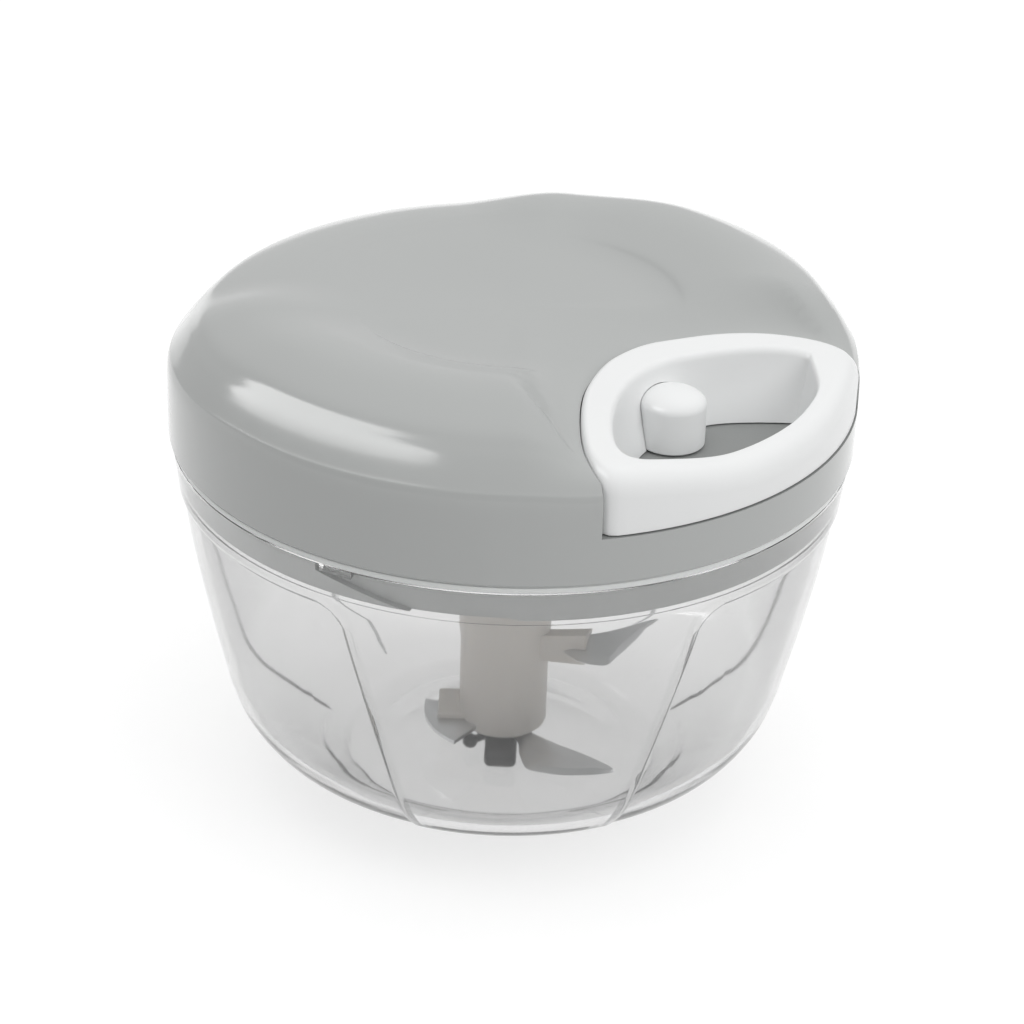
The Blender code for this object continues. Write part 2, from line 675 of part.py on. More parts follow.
def make_base_plate(grey, parent):
    inner = SKIRT_RADIUS - SKIRT_WALL
    edge = LID_RADIUS - LID_WALL - SLIDE_FIT
    hole = BUSH_RADIUS + FIT
    outline = [
        (hole, PLATE_BOTTOM), (inner, PLATE_BOTTOM), (inner, SKIRT_BOTTOM), (SKIRT_RADIUS, SKIRT_BOTTOM),
        (SKIRT_RADIUS, PLATE_BOTTOM), (edge, PLATE_BOTTOM), (edge, PLATE_TOP), (hole, PLATE_TOP)]
    plate = finish("base_plate", turned(outline, SIDES_LARGE), grey, parent)
    for number in range(LUG_COUNT):
        channel = channel_shape(LUG_AZIMUTH + number * 360.0 / LUG_COUNT)
        boolean(plate, cutter(f"channel_{number + 1}", channel))
    for number, place in enumerate(screw_places(), 1):
        hole = cylinder(SCREW_SHANK + FIT, PLATE_BOTTOM - OVERRUN, PLATE_TOP + OVERRUN, SIDES_TINY, place)
        boolean(plate, cutter(f"plate_hole_{number}", hole))


def make_screws(steel, parent):
    for number, place in enumerate(screw_places(), 1):
        head_top = PLATE_BOTTOM - FIT
        head_low = head_top - SCREW_HEAD_HEIGHT
        tip = PLATE_BOTTOM + SCREW_LENGTH - FIT
        outline = [
            (0.0, head_low), (SCREW_HEAD - SCREW_HEAD_HEIGHT / 2, head_low),
            (SCREW_HEAD, head_low + SCREW_HEAD_HEIGHT / 2), (SCREW_HEAD, head_top),
            (SCREW_SHANK, head_top), (SCREW_SHANK, tip - SCREW_SHANK), (0.0, tip)]
        shape = turned(outline, SIDES_TINY)
        bmesh.ops.translate(shape, vec=(place.x, place.y, 0.0), verts=shape.verts)
        finish(f"lid_screw_{number}", shape, steel, parent)


def make_axle(steel, parent):
    low = HUB_DISC_TOP - HUB_DISC_THICKNESS / 2 + FIT
    high = COVER_TOP + SLIDE_FIT + AXLE_SOCKET - FIT
    finish("spool_axle", cylinder(AXLE_RADIUS, low, high, SIDES_TINY), steel, parent)


def make_eyelet(steel, parent):
    """A flared ring in the pocket's back wall, turned about the cord's line."""
    length = LID_WALL - FIT
    flange = LID_WALL / 2
    flare = CORD_HOLE + LID_WALL / 2 - FIT
    body = CORD_HOLE + LID_WALL / 2
    outline = [
        (CORD_HOLE, length), (body, length), (body, -FIT), (body + flange, -FIT),
        (body + flange, -FIT - flange / 2), (flare, -FIT - flange / 2), (CORD_HOLE + FIT, length / 2)]
    shape = turned(outline, SIDES_TINY)
    turn = Matrix.Rotation(math.radians(90.0), 4, "Y")
    place = Matrix.Translation((eyelet_inner_face(), 0.0, CORD_HEIGHT))
    bmesh.ops.transform(shape, matrix=place @ turn, verts=shape.verts)
    finish("cord_eyelet", shape, steel, parent)


def make_bush(plastic, parent):
    flange_top = PLATE_BOTTOM - FIT
    flange_low = flange_top - BUSH_FLANGE_THICKNESS
    wide = BUSH_RADIUS + BUSH_FLANGE
    outline = [
        (BUSH_BORE, flange_low), (wide, flange_low), (wide, flange_top), (BUSH_RADIUS, flange_top),
        (BUSH_RADIUS, PLATE_TOP), (BUSH_BORE, PLATE_TOP)]
    finish("drive_bush", turned(outline, SIDES_SMALL), plastic, parent)


def make_spiral_spring(steel, parent):
    """A flat strip wound from the fixed axle out to the spool's wall."""
    start = AXLE_RADIUS + FIT + SPRING_STRIP / 2
    end = SPOOL_CORE - SPRING_WALL - FIT - SPRING_STRIP / 2
    low = SPOOL_BOTTOM + SPOOL_FLANGE + SPOOL_HUB_RISE + FIT
    high = low + SPRING_HEIGHT
    count = SPRING_TURNS * SPRING_STEPS
    made = bmesh.new()
    rows = []
    for step in range(count + 1):
        azimuth = 360.0 * step / SPRING_STEPS
        middle = start + (end - start) * step / count
        inner = middle - SPRING_STRIP / 2
        outer = middle + SPRING_STRIP / 2
        corners = ((inner, low), (outer, low), (outer, high), (inner, high))
        rows.append([made.verts.new(polar(radius, azimuth, height)) for radius, height in corners])
    for first, second in zip(rows, rows[1:]):
        for here in range(4):
            after = (here + 1) % 4
            made.faces.new((first[here], first[after], second[after], second[here]))
    made.faces.new(rows[0])
    made.faces.new(rows[-1])
    finish("spiral_spring", made, steel, parent)


# The cord from the winding through the eyelet and the handle's wall to the knot

def cord_route():
    """Off the winding along its tangent, round a soft bend onto the X axis, then to the knot."""
    ring = SPOOL_CORE + FIT + WINDING_THICKNESS + FIT + CORD_RADIUS
    start = polar(ring, CORD_START_AZIMUTH).xy
    along = polar(1.0, CORD_START_AZIMUTH - 90.0).xy
    corner = start - along * (start.y / along.y)
    bend_start = corner - along * CORD_BEND
    bend_end = corner + Vector((CORD_BEND, 0.0))
    end = Vector((CAP_X - KNOT_RADIUS - FIT, 0.0))
    route = [start.lerp(bend_start, step / CORD_STRAIGHT_STEPS) for step in range(CORD_STRAIGHT_STEPS)]
    for step in range(CORD_BEND_STEPS):
        share = step / CORD_BEND_STEPS
        route.append(bend_start.lerp(corner, share).lerp(corner.lerp(bend_end, share), share))
    route += [bend_end.lerp(end, step / CORD_STRAIGHT_STEPS) for step in range(CORD_STRAIGHT_STEPS + 1)]
    return route


def make_pull_cord(cord_material, parent):
    curve = bpy.data.curves.new("pull_cord", "CURVE")
    curve.dimensions = "3D"
    curve.bevel_depth = CORD_RADIUS
    curve.bevel_resolution = 2
    curve.use_fill_caps = True
    spline = curve.splines.new("POLY")
    route = cord_route()
    spline.points.add(len(route) - 1)
    for point, (x, y) in zip(spline.points, route):
        point.co = (x, y, CORD_HEIGHT, 1.0)
    curve.materials.append(cord_material)
    made = bpy.data.objects.new("pull_cord", curve)
    bpy.context.scene.collection.objects.link(made)
    made.parent = parent
    made.matrix_parent_inverse = parent.matrix_world.inverted()


# The spool and its pawls

def make_spool(plastic, parent):
    bore = AXLE_RADIUS + FIT
    chamber = SPOOL_CORE - SPRING_WALL
    chamber_floor = SPOOL_BOTTOM + SPOOL_FLANGE
    outline = [
        (bore, SPOOL_BOTTOM - SPOOL_HUB_DROP), (SPOOL_HUB, SPOOL_BOTTOM - SPOOL_HUB_DROP),
        (SPOOL_HUB, SPOOL_BOTTOM), (SPOOL_RADIUS, SPOOL_BOTTOM), (SPOOL_RADIUS, GROOVE_BOTTOM),
        (SPOOL_CORE, GROOVE_BOTTOM), (SPOOL_CORE, GROOVE_TOP), (SPOOL_RADIUS, GROOVE_TOP),
        (SPOOL_RADIUS, SPOOL_TOP), (chamber, SPOOL_TOP), (chamber, chamber_floor),
        (SPOOL_HUB, chamber_floor), (SPOOL_HUB, chamber_floor + SPOOL_HUB_RISE),
        (bore, chamber_floor + SPOOL_HUB_RISE)]
    spool = finish("spool", turned(outline, SIDES_MEDIUM), plastic, parent)
    for number, azimuth in enumerate(PAWL_AZIMUTHS, 1):
        low = HUB_DISC_TOP + FIT
        pin = cylinder(PAWL_PIN, low, SPOOL_BOTTOM + FIT, SIDES_TINY, polar(PAWL_RING, azimuth).xy)
        boolean(spool, cutter(f"pawl_pin_{number}", pin), "UNION")


def make_spring_cover(plastic, parent):
    inner = AXLE_RADIUS + FIT
    outer = SPOOL_CORE + SPRING_WALL
    outline = [(inner, COVER_BOTTOM), (outer, COVER_BOTTOM), (outer, COVER_TOP), (inner, COVER_TOP)]
    finish("spring_cover", turned(outline, SIDES_MEDIUM), plastic, parent)


def make_cord_winding(cord_material, parent):
    inner = SPOOL_CORE + FIT
    outer = inner + WINDING_THICKNESS
    low = GROOVE_BOTTOM + FIT
    high = GROOVE_TOP - FIT
    soft = CORD_RADIUS
    outline = [
        (inner, low), (outer - soft, low), (outer, low + soft), (outer, high - soft),
        (outer - soft, high), (inner, high)]
    finish("cord_winding", turned(outline, SIDES_MEDIUM), cord_material, parent)


def pawl_outline():
    """One pawl in its own frame: the pin's centre is the origin and the arm runs to the tip."""
    tip = polar(PAWL_TIP_RING, PAWL_TIP_AZIMUTH).xy - polar(PAWL_RING, 0.0).xy
    along = tip.normalized()
    across = Vector((-along.y, along.x))
    heading = math.degrees(math.atan2(along.y, along.x))
    arc_turn = 360.0 - 2 * PAWL_EYE_OPENING
    eye = [
        polar(PAWL_EYE, heading + PAWL_EYE_OPENING + arc_turn * step / PAWL_EYE_STEPS).xy
        for step in range(PAWL_EYE_STEPS + 1)]
    shoulder = tip * PAWL_SHOULDER_SHARE
    return eye + [
        shoulder - across * PAWL_ARM_WIDTH / 2, tip - across * PAWL_TIP_WIDTH / 2,
        tip + across * PAWL_TIP_WIDTH / 2, shoulder + across * PAWL_ARM_WIDTH / 2]


def make_pawls(steel, pivots):
    low = HUB_DISC_TOP + FIT
    hole = cylinder(PAWL_PIN + FIT, low - OVERRUN, low + PAWL_HEIGHT + OVERRUN, SIDES_TINY)
    for number, (azimuth, pivot) in enumerate(zip(PAWL_AZIMUTHS, pivots), 1):
        heading = Matrix.Rotation(math.radians(azimuth), 4, "Z")
        place = Matrix.Translation(polar(PAWL_RING, azimuth)) @ heading
        shape = prism(pawl_outline(), low, low + PAWL_HEIGHT)
        bmesh.ops.transform(shape, matrix=place, verts=shape.verts)
        pawl = finish(f"pawl_{number}", shape, steel, pivot)
        bore = hole.copy()
        bmesh.ops.transform(bore, matrix=place, verts=bore.verts)
        boolean(pawl, cutter(f"pawl_bore_{number}", bore))
    hole.free()


# The drive hub and its clip

def tooth_ring():
    """The inside of the ratchet rim: each tooth is a steep face and a long slope."""
    pitch = 360.0 / TOOTH_COUNT
    first = PAWL_TIP_AZIMUTH - TOOTH_FACE_GAP - math.degrees(PAWL_TIP_WIDTH / 2 / PAWL_TIP_RING)
    outline = []
    for tooth in range(TOOTH_COUNT):
        face = first + tooth * pitch
        outline.append(polar(TOOTH_TIP, face).xy)
        outline.append(polar(TOOTH_ROOT, face).xy)
        middle = (TOOTH_ROOT + TOOTH_TIP) / 2
        outline.append(polar(middle, face + pitch / 2).xy)
    return outline


def make_drive_hub(plastic, parent):
    groove = HUB_JOURNAL - CLIP_GROOVE_DEPTH
    groove_top = CLIP_GROOVE_BOTTOM + CLIP_THICKNESS + 2 * FIT
    outline = [
        (0.0, JOURNAL_BOTTOM), (HUB_JOURNAL, JOURNAL_BOTTOM), (HUB_JOURNAL, CLIP_GROOVE_BOTTOM),
        (groove, CLIP_GROOVE_BOTTOM), (groove, groove_top), (HUB_JOURNAL, groove_top),
        (HUB_JOURNAL, HUB_DISC_BOTTOM), (HUB_DISC, HUB_DISC_BOTTOM), (HUB_DISC, HUB_RIM_TOP),
        (0.0, HUB_RIM_TOP)]
    hub = finish("drive_hub", turned(outline, SIDES_MEDIUM), plastic, parent)
    well = cutter("ratchet_well", prism(tooth_ring(), HUB_DISC_TOP, HUB_RIM_TOP + OVERRUN))
    boolean(well, cutter("hub_boss", cylinder(HUB_BOSS, HUB_DISC_TOP - OVERRUN, HUB_BOSS_TOP)))
    boolean(hub, well)
    spigot = cylinder(HUB_SPIGOT, SPIGOT_BOTTOM, JOURNAL_BOTTOM + HUB_JOURNAL / 2, HEX_SIDES)
    boolean(hub, cutter("spigot", spigot), "UNION")
    low = HUB_DISC_TOP - HUB_DISC_THICKNESS / 2
    boolean(hub, cutter("axle_well", cylinder(AXLE_RADIUS + FIT, low, HUB_RIM_TOP + OVERRUN, SIDES_TINY)))


def make_clip(steel, parent):
    low = CLIP_GROOVE_BOTTOM + FIT
    half_gap = CLIP_GAP_ANGLE / 2
    clip = polar_block(
        HUB_JOURNAL - CLIP_GROOVE_DEPTH + FIT, CLIP_RADIUS, half_gap, 360.0 - half_gap,
        low, low + CLIP_THICKNESS, steps=CLIP_STEPS)
    finish("hub_clip", clip, steel, parent)


# The blade column

def blade_outline(radii, leading, trailing):
    """Out along the leading edge and back along the trailing edge."""
    edge_out = [polar(radius, azimuth).xy for radius, azimuth in zip(radii, leading)]
    edge_back = [polar(radius, azimuth).xy for radius, azimuth in zip(radii, trailing)]
    return edge_out + list(reversed(edge_back))


def turned_box(length, half_width, azimuth, low, high):
    along = polar(length, azimuth).xy
    across = polar(half_width, azimuth + 90.0).xy
    return prism([-across, along - across, along + across, across], low, high)


def make_blades(plastic, steel, parent):
    outline = [
        (0.0, COLUMN_BOTTOM), (COLUMN_RADIUS, COLUMN_BOTTOM), (COLUMN_RADIUS, COLUMN_TOP), (0.0, COLUMN_TOP)]
    column = finish("blade_column", turned(outline, SIDES_MEDIUM), plastic, parent)
    holders = zip(
        HOLDER_NAMES, HOLDER_LENGTHS, HOLDER_HALF_WIDTHS, HOLDER_AZIMUTHS, HOLDER_LOWS, HOLDER_HIGHS)
    for name, *sizes in holders:
        boolean(column, cutter(name, turned_box(*sizes)), "UNION")
    cap_room = cylinder(COLUMN_RADIUS + SLIDE_FIT, COLUMN_BOTTOM - OVERRUN, COLUMN_BOTTOM, SIDES_MEDIUM)
    boolean(column, cutter("cap_room", cap_room))
    half = BLADE_THICKNESS / 2
    lower = blade_outline(LOWER_BLADE_RADII, LOWER_BLADE_LEADING, LOWER_BLADE_TRAILING)
    shape = prism(lower, LOWER_BLADE_HEIGHT - half, LOWER_BLADE_HEIGHT + half)
    finish("lower_blade", shape, steel, parent)
    sector = polar_block(
        SECTOR_ROOT, SECTOR_RADIUS, SECTOR_START, SECTOR_END, SECTOR_HEIGHT - half, SECTOR_HEIGHT + half)
    finish("middle_blade", sector, steel, parent)
    side = math.degrees(FIT / SECTOR_ROOT)
    slot = polar_block(
        SECTOR_ROOT - FIT, SECTOR_RADIUS + FIT, SECTOR_START - side, SECTOR_END + side,
        SECTOR_HEIGHT - half - FIT, SECTOR_HEIGHT + half + FIT)
    boolean(column, cutter("middle_blade_slot", slot))
    upper = blade_outline(UPPER_BLADE_RADII, UPPER_BLADE_LEADING, UPPER_BLADE_TRAILING)
    shape = prism(upper, UPPER_BLADE_HEIGHT - half, UPPER_BLADE_HEIGHT + half)
    finish("upper_blade", shape, steel, parent)
    slot = prism(grown(upper, FIT), UPPER_BLADE_HEIGHT - half - FIT, UPPER_BLADE_HEIGHT + half + FIT)
    boolean(column, cutter("upper_blade_slot", slot))
    bore = cylinder(PIN_RADIUS + FIT, COLUMN_BOTTOM - OVERRUN, PIN_TOP + FIT, SIDES_TINY)
    boolean(column, cutter("pin_bore", bore))
    socket = cylinder(HUB_SPIGOT + 2 * FIT, COLUMN_TOP - SOCKET_DEPTH, COLUMN_TOP + OVERRUN, HEX_SIDES)
    boolean(column, cutter("hex_socket", socket))


def make_hub_cap(dark, parent):
    low = FLOOR_TOP + FIT
    flange_low = CAP_FLANGE_TOP - CAP_FLANGE_THICKNESS
    bore = PIN_RADIUS + FIT
    outline = [
        (bore, low), (CAP_BODY - CAP_BODY_ROUND, low), (CAP_BODY, low + CAP_BODY_ROUND),
        (CAP_BODY, flange_low), (CAP_FLANGE_RADIUS, flange_low), (CAP_FLANGE_RADIUS, CAP_FLANGE_TOP),
        (bore, CAP_FLANGE_TOP)]
    cap = finish("hub_cap", turned(outline, SIDES_SMALL), dark, parent)
    neck = neck_shape(BALL_NECK + FIT, CAP_BODY - CAP_BODY_ROUND, BALL_RING)
    boolean(cap, cutter("ball_neck_hole", neck))


def ball_height():
    return FLOOR_TOP + FIT + BALL_RADIUS


def neck_shape(radius, start, end):
    made = cylinder(radius, start, end, SIDES_TINY)
    place = Matrix.Translation((0.0, 0.0, ball_height()))
    heading = Matrix.Rotation(math.radians(BALL_AZIMUTH), 4, "Z")
    on_side = Matrix.Rotation(math.radians(90.0), 4, "Y")
    bmesh.ops.transform(made, matrix=place @ heading @ on_side, verts=made.verts)
    return made


def make_blade_pin(dark, parent):
    """A short pin with a ball head, set in the side of the hub cap."""
    neck = neck_shape(BALL_NECK, CAP_BODY - CAP_BODY_ROUND + FIT, BALL_RING)
    pin = finish("blade_pin", neck, dark, parent)
    ball = bmesh.new()
    bmesh.ops.create_uvsphere(
        ball, u_segments=SIDES_TINY, v_segments=SIDES_TINY // 2, radius=BALL_RADIUS,
        matrix=Matrix.Translation(polar(BALL_RING, BALL_AZIMUTH, ball_height())))
    boolean(pin, cutter("ball", ball), "UNION")


# The handle

def make_handle(white, parent):
    """A D-shaped ring: its outer and inner edges share their count of points."""
    low = FLOOR_HEIGHT + FIT
    outer = handle_outline()
    mouth = opening_outline(MOUTH_LENGTH_SHARES, MOUTH_WIDTH_SHARES, MOUTH_FRONT_WALL)
    foot = opening_outline(FOOT_LENGTH_SHARES, FOOT_WIDTH_SHARES, FOOT_FRONT_WALL)

    def on_top(points, drop):
        return [Vector((*point, LID_EDGE + handle_top(point.x) - drop)) for point in points]

    inner_edge = [high.lerp(below, MOUTH_ROUND_SHARE) for high, below in zip(mouth, foot)]
    rings = [
        [Vector((*point, low)) for point in outer],
        on_top(outer, HANDLE_EDGE),
        on_top(grown(outer, HANDLE_EDGE), 0.0),
        on_top(mouth, 0.0),
        on_top(inner_edge, HANDLE_EDGE),
        [Vector((*point, low)) for point in foot]]
    ring = finish("handle_ring", loft(rings, closed=True), white, parent)
    top = LID_EDGE + HANDLE_INNER_RISE + OVERRUN
    seat = cylinder(CAP_RADIUS + FIT, low - OVERRUN, top, SIDES_SMALL, (CAP_X, 0.0))
    boolean(ring, cutter("cap_seat", seat))
    boolean(ring, cutter("cord_tunnel", x_cylinder(CORD_HOLE, HANDLE_BACK - OVERRUN, CAP_X)))


def make_knot_cap(white, parent):
    low = FLOOR_HEIGHT + FIT
    high = LID_EDGE + CAP_RISE
    outline = [(0.0, low), (CAP_RADIUS, low)]
    for radius_share, height_share in zip(CAP_DOME_RADIUS_SHARES, CAP_DOME_HEIGHT_SHARES):
        outline.append((CAP_RADIUS * radius_share, high - CAP_DOME * (1 - height_share)))
    shape = turned(outline, SIDES_SMALL)
    bmesh.ops.translate(shape, vec=(CAP_X, 0.0, 0.0), verts=shape.verts)
    cap = finish("knot_cap", shape, white, parent)
    bore = cylinder(CAP_BORE, low - OVERRUN, low + CAP_BORE_DEPTH, SIDES_TINY, (CAP_X, 0.0))
    boolean(cap, cutter("knot_bore", bore))
    boolean(cap, cutter("cap_cord_hole", x_cylinder(CORD_HOLE, CAP_X - CAP_RADIUS - OVERRUN, CAP_X)))


def make_knot(cord_material, parent):
    knot = bmesh.new()
    bmesh.ops.create_uvsphere(
        knot, u_segments=SIDES_TINY, v_segments=SIDES_TINY // 2, radius=KNOT_RADIUS,
        matrix=Matrix.Translation((CAP_X, 0.0, CORD_HEIGHT)))
    finish("cord_knot", knot, cord_material, parent)


def pivot(name, place, parent=None):
    made = bpy.data.objects.new(name, None)
    bpy.context.scene.collection.objects.link(made)
    made.location = place
    if parent:
        made.parent = parent
        made.matrix_parent_inverse = parent.matrix_world.inverted()
    bpy.context.view_layer.update()
    return made


def main():
    clear_scene()
    clear = material("clear_plastic", (0.86, 0.88, 0.88), 0.08, alpha=0.35)
    grey = material("grey_plastic", (0.36, 0.37, 0.37), 0.25)
    white = material("white_plastic", (0.88, 0.88, 0.87), 0.35)
    silicone = material("seal_silicone", (0.80, 0.81, 0.80), 0.5)
    natural = material("natural_plastic", (0.78, 0.76, 0.72), 0.45)
    steel = material("steel", (0.62, 0.62, 0.62), 0.25, metallic=1.0)
    dark = material("dark_plastic", (0.06, 0.06, 0.06), 0.5)
    cord_material = material("cord", (0.82, 0.82, 0.80), 0.8)

    make_bowl(clear)
    make_centre_pin(steel)
    lock = pivot("lid_turn_axis", (0.0, 0.0, LID_EDGE))
    make_rim_seal(silicone, lock)
    lid = pivot("lid_lift_axis", (0.0, 0.0, LID_EDGE), lock)
    make_lid_shell(grey, lid)
    make_base_plate(grey, lid)
    make_screws(steel, lid)
    make_axle(steel, lid)
    make_eyelet(steel, lid)
    make_bush(natural, lid)
    make_spiral_spring(steel, lid)
    make_pull_cord(cord_material, lid)

    turning = pivot("spool_axis", (0.0, 0.0, SPOOL_BOTTOM), lid)
    make_spool(natural, turning)
    make_spring_cover(natural, turning)
    make_cord_winding(cord_material, turning)
    pawl_pivots = [
        pivot(f"pawl_axis_{number}", polar(PAWL_RING, azimuth, HUB_DISC_TOP), turning)
        for number, azimuth in enumerate(PAWL_AZIMUTHS, 1)]
    make_pawls(steel, pawl_pivots)

    drive = pivot("drive_axis", (0.0, 0.0, HUB_DISC_BOTTOM), lid)
    make_drive_hub(natural, drive)
    make_clip(steel, drive)
    blades = pivot("blade_release_axis", (0.0, 0.0, COLUMN_BOTTOM), drive)
    make_blades(white, steel, blades)
    make_hub_cap(dark, blades)
    make_blade_pin(dark, blades)

    pull = pivot("handle_pull_axis", (0.0, 0.0, FLOOR_HEIGHT), lid)
    make_handle(white, pull)
    make_knot_cap(white, pull)
    make_knot(cord_material, pull)


main()
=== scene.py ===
# Manual food chopper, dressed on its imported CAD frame.
# Lengths are in metres and angles in degrees. +Z is up and +X is the way the handle is pulled.

import math

import bmesh
import bpy
from mathutils import Matrix, Vector


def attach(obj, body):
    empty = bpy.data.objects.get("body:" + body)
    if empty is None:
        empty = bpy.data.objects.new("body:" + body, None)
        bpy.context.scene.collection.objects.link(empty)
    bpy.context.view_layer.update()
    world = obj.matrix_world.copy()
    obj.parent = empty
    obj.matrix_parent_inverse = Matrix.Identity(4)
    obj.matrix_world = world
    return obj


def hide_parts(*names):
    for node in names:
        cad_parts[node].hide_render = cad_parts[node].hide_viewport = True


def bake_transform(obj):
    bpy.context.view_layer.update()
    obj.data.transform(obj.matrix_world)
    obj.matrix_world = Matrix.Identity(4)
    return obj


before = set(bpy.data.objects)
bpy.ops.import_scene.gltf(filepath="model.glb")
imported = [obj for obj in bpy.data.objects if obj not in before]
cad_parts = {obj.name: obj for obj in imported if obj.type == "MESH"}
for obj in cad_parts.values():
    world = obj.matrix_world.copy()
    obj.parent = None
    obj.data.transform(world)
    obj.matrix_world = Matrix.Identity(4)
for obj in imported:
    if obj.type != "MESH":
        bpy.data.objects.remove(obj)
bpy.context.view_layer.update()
print("frame loaded:", len(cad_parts), "CAD nodes")


# small helpers

def polar(radius, azimuth, height=0.0):
    turn = math.radians(azimuth)
    return Vector((radius * math.cos(turn), radius * math.sin(turn), height))


def smoothStep(value, start=0.0, end=1.0):
    # 0 before the start, 1 past the end and a smooth change between them
    held = min(max((value - start) / (end - start), 0.0), 1.0)
    return held * held * (3 - 2 * held)


def tableValue(at, places, values):
    # straight-line reading of a table whose places rise
    for low, high, first, second in zip(places, places[1:], values, values[1:]):
        if at <= high:
            return first + (second - first) * (at - low) / (high - low)
    return values[-1]


def smoothCurve(through, steps):
    # points along a smooth curve through listed points, the given steps to each span
    padded = [2 * through[0] - through[1]] + list(through) + [2 * through[-1] - through[-2]]
    points = []
    for span in range(len(through) - 1):
        before, first, second, after = padded[span:span + 4]
        for step in range(steps):
            t = step / steps
            points.append(0.5 * (
                2 * first + (second - before) * t
                + (2 * before - 5 * first + 4 * second - after) * t * t
                + (3 * first - before - 3 * second + after) * t * t * t))
    return points + [through[-1].copy()]


def choose(piece=None):
    # nothing stays selected but the given piece
    if bpy.context.mode != "OBJECT":
        bpy.ops.object.mode_set(mode="OBJECT")
    bpy.ops.object.select_all(action="DESELECT")
    if piece:
        bpy.context.view_layer.objects.active = piece
        piece.select_set(True)


def pickEdges(wanted):
    bpy.context.tool_settings.mesh_select_mode = (not wanted, wanted, False)


def raised(outline, height):
    return [Vector((*point, height)) for point in outline]


def arcPoints(radius, height, reach, turns):
    # (radius, height) points about a centre, where 0 is outwards and 90 is up
    return [(radius + reach * math.cos(math.radians(turn)), height + reach * math.sin(math.radians(turn)))
            for turn in turns]


def sectionPiece(name, section, openEnds=False):
    # a circle primitive whose vertices are set along the section
    choose()
    bpy.ops.mesh.primitive_circle_add(vertices=len(section), radius=0.01, location=(0, 0, 0))
    piece = bpy.context.object
    piece.name = name
    piece.data.name = name
    for vertex, place in zip(piece.data.vertices, section):
        vertex.co = place
    if openEnds:   # the circle's closing edge is deleted
        last = len(section) - 1
        for edge in piece.data.edges:
            edge.select = set(edge.vertices) == {0, last}
        for vertex in piece.data.vertices:
            vertex.select = vertex.index in (0, last)
        bpy.ops.object.mode_set(mode="EDIT")
        pickEdges(True)
        bpy.ops.mesh.delete(type="EDGE")
        pickEdges(False)
        bpy.ops.object.mode_set(mode="OBJECT")
    return piece


def closeUp(piece, gap=0.000004):
    # merge the seam and poles, then face everything outwards
    choose(piece)
    bpy.ops.object.mode_set(mode="EDIT")
    bpy.ops.mesh.select_all(action="SELECT")
    bpy.ops.mesh.remove_doubles(threshold=gap)
    bpy.ops.mesh.dissolve_degenerate(threshold=gap / 2)
    bpy.ops.mesh.normals_make_consistent(inside=False)
    bpy.ops.object.mode_set(mode="OBJECT")


def spunPiece(name, outline, sides, centre=(0.0, 0.0)):
    # (radius, height) points turned about a vertical axis; sides is a count or a list of (angle, steps)
    onAxis = outline[0][0] == 0.0 and outline[-1][0] == 0.0
    section = [Vector((radius + centre[0], centre[1], height)) for radius, height in outline]
    piece = sectionPiece(name, section, openEnds=onAxis)
    turns = [(360.0, sides)] if isinstance(sides, int) else sides
    bpy.ops.object.mode_set(mode="EDIT")
    bpy.ops.mesh.select_all(action="SELECT")
    for angle, steps in turns:
        bpy.ops.mesh.spin(
            steps=steps, angle=-math.radians(angle), use_auto_merge=False,   # minus turns anticlockwise
            center=(centre[0], centre[1], 0.0), axis=(0.0, 0.0, 1.0))
    bpy.ops.object.mode_set(mode="OBJECT")
    closeUp(piece)
    return piece


def ringPiece(name, rings, closed=False):
    # a ring of points extruded again and again, each new ring moved to its place
    piece = sectionPiece(name, rings[0])
    bpy.ops.object.mode_set(mode="EDIT")
    bpy.ops.mesh.select_all(action="SELECT")
    for before, after in zip(rings, rings[1:]):
        bpy.ops.mesh.extrude_edges_move()
        shape = bmesh.from_edit_mesh(piece.data)
        places = {tuple(round(part, 7) for part in old): new for old, new in zip(before, after)}
        for vertex in shape.verts:
            if vertex.select:
                vertex.co = places[tuple(round(part, 7) for part in vertex.co)]
        bmesh.update_edit_mesh(piece.data)
    shape = bmesh.from_edit_mesh(piece.data)
    for edge in shape.edges:
        edge.select_set(edge.is_boundary)
    bmesh.update_edit_mesh(piece.data)
    pickEdges(True)
    if closed:   # the last ring is joined to the first, or else both are capped
        bpy.ops.mesh.bridge_edge_loops()
    else:
        bpy.ops.mesh.fill_holes(sides=0)
    pickEdges(False)
    bpy.ops.object.mode_set(mode="OBJECT")
    closeUp(piece)
    return piece


def prismPiece(name, outline, low, high):
    # a flat outline of (x, y) points raised from one height to another
    return ringPiece(name, [raised(outline, height) for height in (low, high)])


def applied(piece, kind, **settings):
    change = piece.modifiers.new(kind.lower(), kind)
    for key, value in settings.items():
        setattr(change, key, value)
    choose(piece)
    bpy.ops.object.modifier_apply(modifier=change.name)


def carved(piece, tool, operation="DIFFERENCE"):
    # one exact Boolean with a helper shape, which is then thrown away
    applied(piece, "BOOLEAN", object=tool, operation=operation, solver="EXACT")
    bpy.data.objects.remove(tool, do_unlink=True)


def grown(outline, distance):
    # an anticlockwise outline moved outwards at each corner, by one distance or by a list of them
    moved = []
    for here, point in enumerate(outline):
        before = Vector(outline[here - 1])
        after = Vector(outline[(here + 1) % len(outline)])
        along = (after - before).normalized()
        reach = distance[here] if isinstance(distance, list) else distance
        moved.append(Vector(point) + Vector((along.y, -along.x)) * reach)
    return moved


def softened(outline, passes):
    # a closed outline whose corners are rounded a little more by each pass
    for _ in range(passes):
        outline = [(outline[here - 1] + 2 * point + outline[(here + 1) % len(outline)]) / 4
                   for here, point in enumerate(outline)]
    return outline


